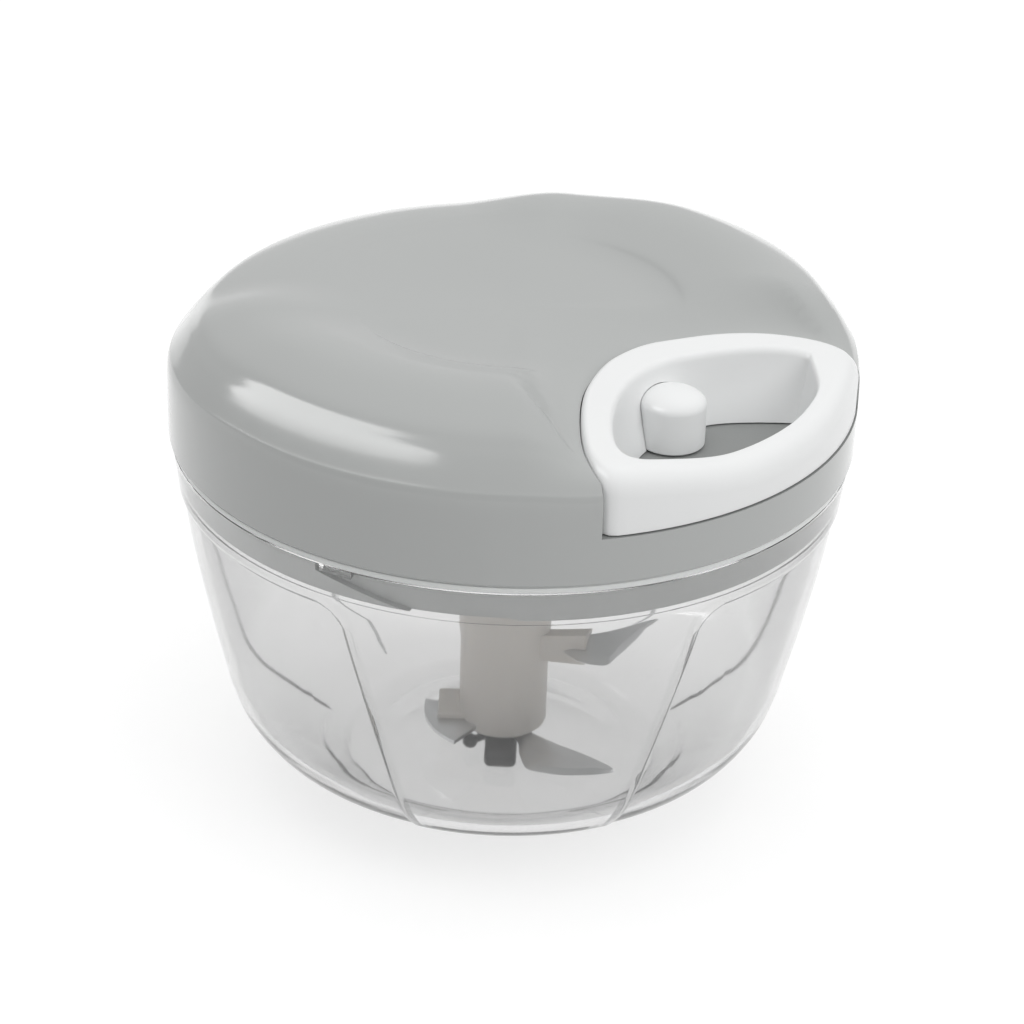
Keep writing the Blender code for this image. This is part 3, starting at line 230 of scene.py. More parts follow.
def cylinderTool(radius, low, high, place=(0.0, 0.0), sides=48):
    bpy.ops.mesh.primitive_cylinder_add(
        vertices=sides, radius=radius, depth=high - low, location=(place[0], place[1], (low + high) / 2))
    return bpy.context.object


def tubePiece(name, route, radius, sides):
    # a round section carried along a route
    rings = []
    across = Vector((0.0, 0.0, 1.0))
    for here, point in enumerate(route):
        along = (route[min(here + 1, len(route) - 1)] - route[max(here - 1, 0)]).normalized()
        across = (across - along * across.dot(along)).normalized()
        other = along.cross(across)
        rings.append([
            point + (across * math.cos(turn) + other * math.sin(turn)) * radius
            for turn in (2 * math.pi * step / sides for step in range(sides))])
    return ringPiece(name, rings)


def settled(piece, body, material, stands=(), angle=30.0):
    # the last step of each new piece: its finish, its smooth shading and the body that it rides on
    piece.data.materials.clear()
    piece.data.materials.append(material)
    choose(piece)
    bpy.ops.object.transform_apply(location=True, rotation=True, scale=True)
    bpy.ops.object.shade_smooth_by_angle(angle=math.radians(angle))
    if isinstance(body, str):
        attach(piece, body)
    else:
        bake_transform(piece)
    if stands:
        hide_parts(*stands)
    print("piece:", piece.name, len(piece.data.polygons), "faces")


# materials

def linear(hexCode):
    # an sRGB hex colour as the linear values that the shader takes
    parts = [int(hexCode[place:place + 2], 16) / 255 for place in (0, 2, 4)]
    return (*[part / 12.92 if part <= 0.04045 else ((part + 0.055) / 1.055) ** 2.4 for part in parts], 1.0)


def addNode(tree, kind, inputs=None, drives=None, **settings):
    # each input is a value or the socket that it reads, and an output may drive a socket of another node
    node = tree.nodes.new(kind)
    for key, value in settings.items():
        setattr(node, key, value)
    for socket, value in (inputs or {}).items():
        if isinstance(value, bpy.types.NodeSocket):
            tree.links.new(value, node.inputs[socket])
        else:
            node.inputs[socket].default_value = value
    for output, socket in (drives or {}).items():
        tree.links.new(node.outputs[output], socket)
    return node


def startMaterial(name, **values):
    made = bpy.data.materials.new(name)
    made.use_nodes = True
    tree = made.node_tree
    shader = tree.nodes["Principled BSDF"]
    for socket, value in values.items():
        shader.inputs[socket.replace("_", " ")].default_value = value
    place = addNode(tree, "ShaderNodeTexCoord").outputs["Object"]
    return made, tree, shader, place


def shadeBetween(tree, shader, factor, socket, low, high):
    # a pattern drives a shader's socket between two values or two colours
    drives = shader.inputs[socket]
    if isinstance(low, str):
        colours = {"Factor": factor, 6: linear(low), 7: linear(high)}
        addNode(tree, "ShaderNodeMix", colours, {2: drives}, data_type="RGBA")
    else:
        addNode(tree, "ShaderNodeMapRange", {"Value": factor, "To Min": low, "To Max": high}, {0: drives})


moulding = {"flow": 0.025, "flowDetail": 3.0, "shiniest": 0.85, "dullest": 1.2, "dentShare": 0.25}
grinding = {"stretch": 12.0, "detail": 4.0, "shiniest": 0.7, "dullest": 1.4, "depth": 0.00001,
            "depthShare": 0.3, "crest": "DADBDC"}


def mouldedPlastic(name, hexCode, fleck, roughness, grain, dent, ior=1.53, **extra):
    # injection-moulded plastic: an even colour with a hint of flow, and the tool's fine polish in the gloss;
    # a grain that would be too fine to show is drawn coarser than it is
    made, tree, shader, place = startMaterial(name, IOR=ior, **extra)
    flow = addNode(
        tree, "ShaderNodeTexNoise",
        {"Vector": place, "Scale": 1 / moulding["flow"], "Detail": moulding["flowDetail"]}).outputs[0]
    shadeBetween(tree, shader, flow, "Base Color", hexCode, fleck)
    polish = addNode(tree, "ShaderNodeTexNoise", {"Vector": place, "Scale": 1 / grain}).outputs[0]
    shadeBetween(
        tree, shader, polish, "Roughness", roughness * moulding["shiniest"], roughness * moulding["dullest"])
    addNode(
        tree, "ShaderNodeBump", {"Strength": moulding["dentShare"], "Distance": dent, "Height": polish},
        {"Normal": shader.inputs["Normal"]})
    return made


def groundSteel(name, hexCode, roughness, scratch):
    # ground steel: parallel grinding lines that stretch the highlights across them, drawn coarser than they are
    made, tree, shader, place = startMaterial(name, Metallic=1.0)
    drawn = addNode(tree, "ShaderNodeMapping", {"Vector": place, "Scale": (1.0, grinding["stretch"], 1.0)})
    lines = addNode(
        tree, "ShaderNodeTexNoise",
        {"Vector": drawn.outputs[0], "Scale": 1 / scratch, "Detail": grinding["detail"]}).outputs[0]
    shadeBetween(
        tree, shader, lines, "Roughness", roughness * grinding["shiniest"], roughness * grinding["dullest"])
    shadeBetween(tree, shader, lines, "Base Color", hexCode, grinding["crest"])
    addNode(
        tree, "ShaderNodeBump",
        {"Strength": grinding["depthShare"], "Distance": grinding["depth"], "Height": lines},
        {"Normal": shader.inputs["Normal"]})
    return made


# glossy moulded ABS: clean reflections with the faint orange peel of a polished tool
glossAbs = mouldedPlastic(
    "greyMouldedABS", "AEB0AF", "B0B2B1", roughness=0.14, grain=0.0020, dent=0.000012)
# the base plate has the same ABS from a plainer tool, a little duller, and its colour is painted much lighter
# than the lid's as painted light for the light that the bowl's wall keeps from it
satinAbsPaintedLighter = mouldedPlastic(
    "greySatinABSPaintedLighter", "D6D8D7", "D8DAD9", roughness=0.32, grain=0.0008, dent=0.000010)
# the pocket's floor has a fine spark-eroded texture, so it stays dull; its colour is painted a shade darker for
# the shade that falls in the pocket under the handle
texturedAbsPaintedShade = mouldedPlastic(
    "greyTexturedABSPaintedShade", "8C8E8D", "929493", roughness=0.60, grain=0.0003, dent=0.00003)
# white ABS with a soft sheen: light sinks in a little, so its edges stay soft
whiteAbs = mouldedPlastic(
    "whiteMouldedABS", "EDEEEE", "EAEBEB", roughness=0.34, grain=0.0012, dent=0.000010,
    Subsurface_Weight=0.08, Subsurface_Radius=(0.002, 0.002, 0.002), Subsurface_Scale=0.5)
# uncoloured polypropylene: a waxy, slightly warm white that light sinks into
whitePolypropylene = mouldedPlastic(
    "whiteMouldedPolypropylene", "DDD9D4", "D6D1CB", roughness=0.38, grain=0.0010, dent=0.000012, ior=1.49,
    Subsurface_Weight=0.15, Subsurface_Radius=(0.003, 0.0026, 0.0022), Subsurface_Scale=0.5)
# acetal for the pieces that turn on each other: a waxy cream white
naturalAcetal = mouldedPlastic(
    "naturalMouldedAcetal", "DAD6CC", "D2CEC3", roughness=0.36, grain=0.0010, dent=0.000010, ior=1.48)
# dark glass-filled nylon: matt with a short fibre fleck
darkNylon = mouldedPlastic(
    "darkMouldedNylon", "242425", "303031", roughness=0.45, grain=0.0005, dent=0.000015)
# silicone: translucent and soft-shining
clearSilicone = mouldedPlastic(
    "translucentMouldedSilicone", "E8EAE9", "E3E5E4", roughness=0.35, grain=0.0010, dent=0.000008, ior=1.41,
    Subsurface_Weight=0.3, Subsurface_Radius=(0.002, 0.002, 0.002), Subsurface_Scale=0.5)
# stainless sheet for the blades is pale and satin, and turned bar for the pins and screws is darker
bladeSteel = groundSteel("groundStainlessSteel", "E0E1E2", roughness=0.32, scratch=0.0015)
turnedSteel = groundSteel("turnedSteel", "A8A9AA", roughness=0.30, scratch=0.0010)


san = {"ior": 1.46, "edgeFall": 2.2, "wave": 0.0166667, "waveDetail": 1.0, "waveDepth": 0.0001,
       "waveShare": 0.15}


def mouldedSan(name, hexCode, edgeOnShadeCode, smooth, rough):
    # injection-moulded clear SAN: see-through and softly waved in the gloss; its colour greys where a wall is
    # seen edge-on, partly for the longer path through the wall and partly as painted shade for the dark edges
    # that clear plastic shows
    made, tree, shader, place = startMaterial(name, IOR=san["ior"], Transmission_Weight=1.0)
    facing = addNode(tree, "ShaderNodeLayerWeight", {"Blend": 0.5}).outputs["Facing"]
    edgeOn = addNode(tree, "ShaderNodeMath", {0: facing, 1: san["edgeFall"]}, operation="POWER").outputs[0]
    shadeBetween(tree, shader, edgeOn, "Base Color", hexCode, edgeOnShadeCode)
    waves = addNode(
        tree, "ShaderNodeTexNoise",
        {"Vector": place, "Scale": 1 / san["wave"], "Detail": san["waveDetail"]}).outputs[0]
    shadeBetween(tree, shader, waves, "Roughness", smooth, rough)
    addNode(
        tree, "ShaderNodeBump", {"Strength": san["waveShare"], "Distance": san["waveDepth"], "Height": waves},
        {"Normal": shader.inputs["Normal"]})
    return made


# hollow is the painted shade between the strands, and crest the painted highlight on the strands on top
braid = {"strand": 0.0004488, "slant": 35.0, "wander": 0.4, "depth": 0.0001, "depthShare": 0.6,
         "hollow": "BDBDB8", "crest": "EFEFEC"}


def braidedCord():
    # braided nylon cord: two sets of strands cross at a slant; the colour is painted darker in the hollows
    # between them as painted shade and lighter on the strand on top as a painted highlight
    made, tree, shader, place = startMaterial("braidedNylon", Roughness=0.75, Sheen_Weight=0.3)
    scale = math.pi / 10 / braid["strand"]   # a wave texture of scale 1 repeats after pi / 10
    strands = []
    for slant in (braid["slant"], -braid["slant"]):
        turned = addNode(
            tree, "ShaderNodeMapping", {"Vector": place, "Rotation": (0.0, 0.0, math.radians(slant))})
        strands.append(addNode(
            tree, "ShaderNodeTexWave",
            {"Vector": turned.outputs[0], "Scale": scale, "Distortion": braid["wander"]}).outputs[1])
    over = addNode(tree, "ShaderNodeMath", {0: strands[0], 1: strands[1]}, operation="MAXIMUM").outputs[0]
    shadeBetween(tree, shader, over, "Base Color", braid["hollow"], braid["crest"])
    addNode(
        tree, "ShaderNodeBump", {"Strength": braid["depthShare"], "Distance": braid["depth"], "Height": over},
        {"Normal": shader.inputs["Normal"]})
    return made


# the clear bowl's colour greys where a wall is seen edge-on: partly the longer path, partly painted shade
clearSan = mouldedSan("clearMouldedSAN", "E6E6E6", "686969", smooth=0.02, rough=0.05)
# the same SAN on the narrow steps round the panels, where the tool is rougher; its colour is painted darker, as
# painted shade for the dark lines that the steps show in clear plastic
clearSanEdgePaintedShade = mouldedSan("clearMouldedSANEdgePaintedShade", "7C7D7D", "6A6B6B", smooth=0.12, rough=0.16)
cordNylon = braidedCord()
print("materials made:", len(bpy.data.materials))


# the camera, at the photograph's angle

camera = {"distance": 0.5, "elevation": 26.25, "azimuth": 42.0, "roll": 1.81, "target": (0.0, 0.0, 0.074),
          "focalPixels": 2619.0, "centrePixel": (511.7, 418.8), "imageSize": 1024, "sensor": 36.0}


def makeCamera(sizes):
    rise = math.radians(sizes["elevation"])
    turn = math.radians(sizes["azimuth"])
    roll = math.radians(sizes["roll"])
    right = Vector((math.cos(turn), math.sin(turn), 0.0))
    ahead = Vector((-math.sin(turn), math.cos(turn), 0.0))
    forward = ahead * math.cos(rise) - Vector((0, 0, 1)) * math.sin(rise)
    up = ahead * math.sin(rise) + Vector((0, 0, 1)) * math.cos(rise)
    side = right * math.cos(roll) + up * math.sin(roll)
    top = up * math.cos(roll) - right * math.sin(roll)
    size = sizes["imageSize"]
    bpy.ops.object.camera_add()
    eye = bpy.context.object
    eye.data.sensor_width = sizes["sensor"]
    eye.data.lens = sizes["focalPixels"] / size * sizes["sensor"]
    eye.data.shift_x = (size / 2 - sizes["centrePixel"][0]) / size
    eye.data.shift_y = (sizes["centrePixel"][1] - size / 2) / size
    eye.data.clip_start = 0.01
    facing = Matrix((side, top, -forward)).transposed().to_4x4()
    facing.translation = Vector(sizes["target"]) - forward * sizes["distance"]
    eye.matrix_world = facing
    bpy.context.scene.camera = eye


makeCamera(camera)
print("camera placed")


# the lid's shell

handle = {
    "radius": 0.0647, "back": 0.0270, "innerRise": 0.0238, "outerRise": 0.0168,
    "sideRise": 0.0018, "sideRiseStart": 0.008, "sideRiseEnd": 0.028,
    "edge": 0.0016, "frontEdge": 0.0040, "frontFrom": 0.0460, "frontTo": 0.0560, "innerEdge": 0.0020,
    "insetShare": 0.8, "wallSlope": 0.26, "outerSteps": 8, "topSteps": 4, "innerSteps": 6,
    "cornerPasses": 1, "topPasses": 12, "mouthPasses": 7, "samples": 8, "frontSamples": 44, "low": 0.0833,
    "backX": (0.0270, 0.0274, 0.0290, 0.0322, 0.0364, 0.0412, 0.0456, 0.0500, 0.0526),
    "backY": (0.0, 0.0052, 0.0105, 0.0168, 0.0226, 0.0280, 0.0320, 0.0346, 0.0351),
    "mouthX": (0.0326, 0.0330, 0.0344, 0.0372, 0.0412, 0.0450, 0.0484, 0.0512, 0.0532),
    "mouthY": (0.0, 0.0052, 0.0098, 0.0156, 0.0216, 0.0258, 0.0280, 0.0283, 0.0272),
    "mouthRadius": 0.0602, "cutAzimuth": 49.1, "mouthCut": 0.0527, "footCut": 0.0495,
    "footX": (0.0377, 0.0380, 0.0392, 0.0415, 0.0446, 0.0480, 0.0505, 0.0522, 0.0532),
    "footY": (0.0, 0.0048, 0.0096, 0.0134, 0.0170, 0.0204, 0.0224, 0.0228, 0.0222),
    "footRadius": 0.0580}

cord = {
    "height": 0.08615, "radius": 0.0008, "hole": 0.0013, "ring": 0.0184, "startAzimuth": 38.5, "bend": 0.0037,
    "end": 0.0363, "eyeletBody": 0.0023, "eyeletFace": 0.0262, "sides": 16, "routeSteps": (6, 10, 12),
    "windingRings": (0.0151, 0.0166), "windingLow": 0.0846, "windingHigh": 0.0877, "windingTurns": 2.5,
    "windingSteps": 28, "windingSkip": 8.0, "windingRadius": 0.000768, "windingSides": 8,
    "knotScale": 0.00044, "knotSteps": 98, "knotSides": 12}

lid = {
    "radius": 0.0650, "edge": 0.0740, "rise": 0.0252, "wall": 0.0020, "sides": 256, "rowSteps": 6,
    "edgeRound": 0.0005,
    "radiusShares": (
        1.0, 1.0, 0.998, 0.992, 0.983, 0.954, 0.923, 0.877, 0.769, 0.646, 0.508, 0.462, 0.338, 0.154, 0.0),
    "heightShares": (
        0.02, 0.30, 0.49, 0.565, 0.600, 0.695, 0.780, 0.868, 0.958, 1.0, 1.0, 0.960, 0.940, 0.930, 0.928),
    "discEdge": 0.60, "discMiddle": 0.928, "discCrisp": 0.65, "discFull": 85.0, "discNone": 120.0,
    "discFront": (35.0, 55.0),
    "raise": 0.0052, "crestAzimuth": 92.0, "stepStart": 121.0, "stepEnd": 146.0, "stepShare": 0.60,
    "raiseInner": 0.38, "raiseOuter": 0.80,
    "dishReach": 0.0205, "dishLip": -0.0010, "dishSoft": 0.0026, "dishSlope": 0.8,
    "pocketGap": 0.00015, "pocketFloor": 0.0830, "pocketSpread": 1.35,
    "postAzimuths": (70.0, 145.0, 215.0, 290.0), "postRing": 0.0460, "postRadius": 0.0040, "postLow": 0.0767,
    "postSides": 32,
    "over": 0.005, "boreStart": 0.003, "boreEnd": 0.001, "seamGap": 0.000002, "floorMatch": 0.00002}


def sideRaise(radiusShare, heightShare, azimuth):
    # how far the two flanks beside the handle stand above the lid's back
    step = smoothStep(abs(azimuth), lid["stepEnd"], lid["stepStart"])
    crest = smoothStep(abs(azimuth), lid["stepStart"], lid["crestAzimuth"])
    around = lid["stepShare"] * step + (1 - lid["stepShare"]) * crest
    outward = smoothStep(radiusShare, lid["raiseInner"], lid["raiseOuter"])
    return lid["raise"] * around * outward * heightShare


def discShare(across, heightShare, azimuth):
    # the sunk disc in the lid's middle has a crisp edge beside the flanks, and none at the back and front
    crisp = smoothStep(abs(azimuth), lid["discNone"], lid["discFull"])
    crisp *= lid["discCrisp"] * smoothStep(abs(azimuth), *lid["discFront"])
    soft = lid["discMiddle"] + (1 - lid["discMiddle"]) * smoothStep(across, 0.0, lid["discEdge"])
    return soft + (heightShare - soft) * crisp


def handleTop(place):
    # the height of the handle's top, which falls towards the front and rises towards its two ends
    share = (place.x - handle["back"]) / (handle["radius"] - handle["back"])
    ends = smoothStep(abs(place.y), handle["sideRiseStart"], handle["sideRiseEnd"])
    rise = handle["innerRise"] + (handle["outerRise"] - handle["innerRise"]) * share
    return lid["edge"] + rise + handle["sideRise"] * ends


def dished(place, height):
    # the lid's top sinks softly to meet the top of the handle
    side = abs(place.y)
    edge = tableValue(side, handle["backY"], handle["backX"])
    edge += max(side - handle["backY"][-1], 0.0) * lid["dishSlope"]
    near = min(max((place.x - edge) / lid["dishReach"] + 1.0, 0.0), 1.0)
    near = near ** 3 * (near * (6.0 * near - 15.0) + 10.0)   # starts so softly that the gloss shows no line
    above = height - (handleTop(place) - lid["edge"]) - lid["dishLip"]
    return height - 0.5 * (above + math.hypot(above, lid["dishSoft"])) * near


def domePiece(name, radius, rise, low):
    # a solid of revolution under the lid's top, whose flanks are then raised and its front dished
    edgeRound = lid["edgeRound"]
    crown = [Vector((radius * across, lid["edge"] + rise * up))
             for across, up in zip(lid["radiusShares"], lid["heightShares"])]
    outline = [(0.0, low), (radius - edgeRound, low), (radius, low + edgeRound)]
    outline += [tuple(point) for point in smoothCurve(crown, lid["rowSteps"])]
    outline[-1] = (0.0, outline[-1][1])
    piece = spunPiece(name, outline, lid["sides"])
    for vertex in piece.data.vertices:
        place = vertex.co
        share = (place.z - lid["edge"]) / rise
        if share > 0.0:
            across = math.hypot(place.x, place.y) / radius
            azimuth = math.degrees(math.atan2(place.y, place.x))
            if across < lid["discEdge"] and share > 0.5:
                share = discShare(across, share, azimuth)
            height = lid["rise"] * share + sideRaise(across, share, azimuth)
            height = dished(place * (lid["radius"] / radius), height)
            place.z = lid["edge"] + height * rise / lid["rise"]
    return piece


def mirroredCurve(xs, ys, steps):
    half = [Vector(pair) for pair in zip(xs, ys)]
    through = [Vector((point.x, -point.y)) for point in reversed(half[1:])] + half
    return smoothCurve(through, steps)


def pocketOutline(gap):
    # the handle's back edge moved out by a gap, then opened past the lid's wall
    back = mirroredCurve(handle["backX"], handle["backY"], handle["samples"])
    moved = grown(list(reversed(back)), gap)[1:-1]
    reach = lid["radius"] * lid["pocketSpread"]
    return moved + [moved[-1] * (reach / moved[-1].length), moved[0] * (reach / moved[0].length)]


def cordTool(radius, start, end):
    # a round bar along the cord's line, for the holes that it runs through
    bpy.ops.mesh.primitive_cylinder_add(
        vertices=32, radius=radius, depth=end - start, location=((start + end) / 2, 0.0, cord["height"]),
        rotation=(0.0, math.radians(90.0), 0.0))
    return bpy.context.object


def makeLid():
    shell = domePiece("lidShell", lid["radius"], lid["rise"], lid["edge"])
    top = lid["edge"] + lid["rise"] + lid["over"]
    wall, floor = lid["wall"], lid["pocketFloor"]
    hollow = domePiece("lidHollow", lid["radius"] - wall, lid["rise"] - wall, lid["edge"] - lid["over"])
    outline = pocketOutline(lid["pocketGap"] + wall)
    carved(hollow, prismPiece("pocketWall", outline, floor - wall, top + lid["over"]))
    for azimuth in lid["postAzimuths"]:
        carved(hollow, cylinderTool(
            lid["postRadius"], lid["postLow"], top, polar(lid["postRing"], azimuth).xy, lid["postSides"]))
    carved(shell, hollow)
    carved(shell, prismPiece("pocket", pocketOutline(lid["pocketGap"]), floor, top + lid["over"]))
    carved(shell, cordTool(
        cord["eyeletBody"], cord["eyeletFace"] - lid["boreStart"], handle["back"] + lid["boreEnd"]))
    closeUp(shell, lid["seamGap"])
    settled(shell, "lid", glossAbs, ["lid_shell"], angle=35.0)
    # the pocket's floor faces take the darker copy, whose colour is the pocket's shade painted in
    shell.data.materials.append(texturedAbsPaintedShade)
    for face in shell.data.polygons:
        if face.normal.z > 0.99 and abs(face.center.z - floor) < lid["floorMatch"]:
            face.material_index = 1


makeLid()


# the handle, a D-shaped ring set into the lid

def withFront(half, radius):
    # the ring's front is an arc about the lid's axis
    corner = math.degrees(math.asin(half[-1].y / radius))
    count = handle["frontSamples"]
    return half + [polar(radius, corner - 2 * corner * step / count).xy for step in range(count + 1)]


def cutCorner(outline, reach):
    # the opening's far corner is drawn back to a straight line across it
    heading = polar(1.0, handle["cutAzimuth"]).xy
    return [point - heading * max(heading.dot(point) - reach, 0.0) for point in outline]


def handleRings():
    # the ring's section from the outer foot over the top to the inner foot, round its whole outline
    steps = handle["samples"]
    outer = withFront(mirroredCurve(handle["backX"], handle["backY"], steps), handle["radius"])
    mouth = withFront(mirroredCurve(handle["mouthX"], handle["mouthY"], steps), handle["mouthRadius"])
    foot = withFront(mirroredCurve(handle["footX"], handle["footY"], steps), handle["footRadius"])
    outer = softened(outer, handle["cornerPasses"])
    mouth = softened(cutCorner(mouth, handle["mouthCut"]), handle["mouthPasses"])
    foot = softened(cutCorner(foot, handle["footCut"]), handle["mouthPasses"])
    widen = handle["frontEdge"] - handle["edge"]
    edges = [handle["edge"] + widen * smoothStep(place.x, handle["frontFrom"], handle["frontTo"])
             for place in outer]
    # the outline runs clockwise, so grown moves it inwards
    inset = softened(grown(outer, [edge * handle["insetShare"] for edge in edges]), handle["topPasses"])
    rings = [raised(outer, handle["low"])]
    for step in range(handle["outerSteps"] + 1):
        turn = math.radians(90.0 * step / handle["outerSteps"])
        rings.append([
            Vector((*place, handleTop(place) - edge * (1 - math.sin(turn))))
            for place, edge in ((wall.lerp(top, 1 - math.cos(turn)), edge)
                                for wall, top, edge in zip(outer, inset, edges))])
    for step in range(1, handle["topSteps"]):
        rings.append([
            Vector((*at, handleTop(at)))
            for at in (top.lerp(lip, step / handle["topSteps"]) for top, lip in zip(inset, mouth))])
    for step in range(handle["innerSteps"] + 1):
        turn = math.radians(90.0 * step / handle["innerSteps"])
        drop = handle["innerEdge"] * (1 - math.cos(turn))
        rings.append([
            Vector((*lip.lerp(base, handle["wallSlope"] * math.sin(turn)), handleTop(lip) - drop))
            for lip, base in zip(mouth, foot)])
    return rings + [raised(foot, handle["low"])]


cap = {"x": 0.0388, "radius": 0.0061, "top": 0.0940, "dome": 0.0031, "low": 0.0833, "sides": 72,
       "gap": 0.0001, "bore": 0.0029, "boreDepth": 0.0063, "edge": 0.0003, "domeSteps": 12, "over": 0.001}


def capOutline(grow):
    radius = cap["radius"] + grow
    points = [(radius - cap["edge"], cap["low"]), (radius, cap["low"] + cap["edge"])]
    for step in range(cap["domeSteps"] + 1):
        turn = math.radians(90.0 * step / cap["domeSteps"])
        points.append((radius * math.cos(turn), cap["top"] + grow - cap["dome"] * (1 - math.sin(turn))))
    points[-1] = (0.0, cap["top"] + grow)
    return points


def makeHandle():
    ring = ringPiece("handleRing", handleRings(), closed=True)
    foot = cap["low"] - cap["over"]
    outline = [(0.0, foot), (cap["radius"] + cap["gap"], foot)] + capOutline(cap["gap"])[1:]
    carved(ring, spunPiece("capSeat", outline, cap["sides"], (cap["x"], 0.0)))
    carved(ring, cordTool(cord["hole"], handle["back"] - cap["over"], cap["x"]))
    settled(ring, "handle", whiteAbs, ["handle_ring"], angle=35.0)


def makeKnotCap():
    roof = cap["low"] + cap["boreDepth"]
    outline = [(0.0, roof), (cap["bore"], roof), (cap["bore"], cap["low"])] + capOutline(0.0)
    piece = spunPiece("knotCap", outline, cap["sides"], (cap["x"], 0.0))
    carved(piece, cordTool(cord["hole"], cap["x"] - cap["radius"] - cap["over"], cap["x"]))
    settled(piece, "handle", whiteAbs, ["knot_cap"], angle=40.0)


makeHandle()
makeKnotCap()


# the cord, drawn out of the lid by the handle

def makeCord():
    start = polar(cord["ring"], cord["startAzimuth"])
    along = polar(1.0, cord["startAzimuth"] - 90.0)
    corner = start - along * (start.y / along.y)
    bendStart = corner - along * cord["bend"]
    bendEnd = corner + Vector((cord["bend"], 0.0, 0.0))
    end = Vector((cord["end"], 0.0, 0.0))
    before, bending, after = cord["routeSteps"]
    route = [start.lerp(bendStart, step / before) for step in range(before)]
    route += [bendStart.lerp(corner, share).lerp(corner.lerp(bendEnd, share), share)
              for share in (step / bending for step in range(bending))]
    route += [bendEnd.lerp(end, step / after) for step in range(after + 1)]
    lift = Vector((0.0, 0.0, cord["height"]))
    piece = tubePiece("pullCord", [point + lift for point in route], cord["radius"], cord["sides"])
    between = ("lid", "handle", (cord["eyeletFace"], 0.0, cord["height"]), (cord["end"], 0.0, cord["height"]))
    settled(piece, between, cordNylon, ["pull_cord"])


def makeWinding():
    # two layers of turns, wound up and then back down
    inner, outer = cord["windingRings"]
    turns = cord["windingTurns"]
    low, high = cord["windingLow"], cord["windingHigh"]
    steps = int(cord["windingSteps"] * turns)
    route = []
    for layer, (radius, first, last) in enumerate(((inner, low, high), (outer, high, low))):
        for step in range(steps + 1):
            share = step / steps
            ring = (inner + outer) / 2 if layer and step == 0 else radius   # a step up between the layers
            azimuth = 360.0 * turns * (layer + share) + layer * cord["windingSkip"]
            route.append(polar(ring, azimuth, first + (last - first) * share))
    piece = tubePiece("cordWinding", route, cord["windingRadius"], cord["windingSides"])
    settled(piece, "spool", cordNylon, ["cord_winding"])


def makeKnot():
    # an overhand knot pulled up tight
    middle = Vector((cap["x"], 0.0, cord["height"]))
    route = []
    for step in range(cord["knotSteps"] - 1):
        turn = 2 * math.pi * step / cord["knotSteps"]
        route.append(middle + Vector((
            -math.sin(3 * turn), math.sin(turn) + 2 * math.sin(2 * turn),
            math.cos(turn) - 2 * math.cos(2 * turn))) * cord["knotScale"])
    piece = tubePiece("cordKnot", route, cord["radius"], cord["knotSides"])
    settled(piece, "handle", cordNylon, ["cord_knot"])


makeCord()
makeWinding()
makeKnot()


# the clear bowl

bowl = {
    "base": 0.0305, "foot": 0.0045, "recess": 0.0006, "recessSlope": 0.0030, "footLift": 0.00003,
    "rim": 0.0645, "height": 0.0726, "wall": 0.0022, "wallProbe": 0.0004, "outsideSlack": 0.0002,
    "floor": 0.0026, "seat": 0.0624, "ledge": 0.0657, "rimRound": 0.0004, "seatChamfer": 0.0003,
    "floorCorner": 0.0012, "floorSlope": 2.2, "floorShares": (0.25, 0.5, 0.75, 1.0), "wallSteps": 40,
    "heightShares": (
        0.0, 0.025, 0.069, 0.123, 0.187, 0.259, 0.331, 0.413, 0.510, 0.613, 0.716, 0.820, 0.916, 1.0),
    "radiusShares": (
        0.0, 0.085, 0.240, 0.405, 0.590, 0.696, 0.748, 0.788, 0.835, 0.880, 0.921, 0.955, 0.979, 1.0),
    "rowSpans": ((0.0, 0.0004, 1), (0.0004, 0.0140, 22), (0.0140, 0.0585, 28), (0.0585, 0.0650, 30),
                 (0.0650, 0.0722, 6)),
    "panels": 3, "panelAzimuth": 15.0, "panelHalf": 26.0, "panelDepth": 0.0006, "panelTop": 0.0640,
    "panelBottom": 0.0040, "panelCorner": 0.0050, "panelEdge": 0.0010, "panelMargin": 0.4, "bottomSoft": 1.9,
    "panelSpread": 41.5, "panelTaper": 185.5, "stepDepth": 0.001, "stepSideways": 0.17, "stepDown": 0.35,
    "edgeTurn": 5.6, "edgeSteps": 26, "panelSteps": 24, "pillarSteps": 40,
    "lugs": 3, "lugAzimuth": -76.0, "lugWidth": 6.0, "lugReach": 0.0017, "lugHeight": 0.0018,
    "lugDrop": 0.0003, "lugRoot": 0.001, "lugFace": (0.9, 0.45, 0.0, -0.45, -0.9),
    "pinHole": 0.0023, "pinDepth": 0.0011, "pinOver": 0.01, "pinSides": 24}


def bowlRadius(height):
    # a smooth reading of the bowl's silhouette
    share = height / bowl["height"]
    places, values = bowl["heightShares"], bowl["radiusShares"]
    for span in range(len(places) - 1):
        if share <= places[span + 1] or span == len(places) - 2:
            break
    before, after = max(span - 1, 0), min(span + 2, len(places) - 1)
    width = places[span + 1] - places[span]
    t = (share - places[span]) / width
    first = (values[span + 1] - values[before]) / (places[span + 1] - places[before]) * width
    second = (values[after] - values[span]) / (places[after] - places[span]) * width
    value = (2 * t ** 3 - 3 * t ** 2 + 1) * values[span] + (t ** 3 - 2 * t ** 2 + t) * first
    value += (3 * t ** 2 - 2 * t ** 3) * values[span + 1] + (t ** 3 - t ** 2) * second
    return bowl["base"] + value * (bowl["rim"] - bowl["base"])


def panelSink(azimuth, height):
    # 1 inside a recessed panel, 0 outside, with a soft edge; the upper corners are round
    spacing = 360.0 / bowl["panels"]
    turn = abs((azimuth - bowl["panelAzimuth"] + spacing / 2) % spacing - spacing / 2)
    side = math.radians(bowl["panelHalf"] - turn) * bowlRadius(height)
    below = bowl["panelTop"] - height
    corner = bowl["panelCorner"]
    if side < corner and below < corner:
        inside = corner - math.hypot(corner - side, corner - below)
    else:
        inside = min(side, below, (height - bowl["panelBottom"]) * bowl["bottomSoft"])
    return smoothStep(inside / bowl["panelEdge"] + 0.5)


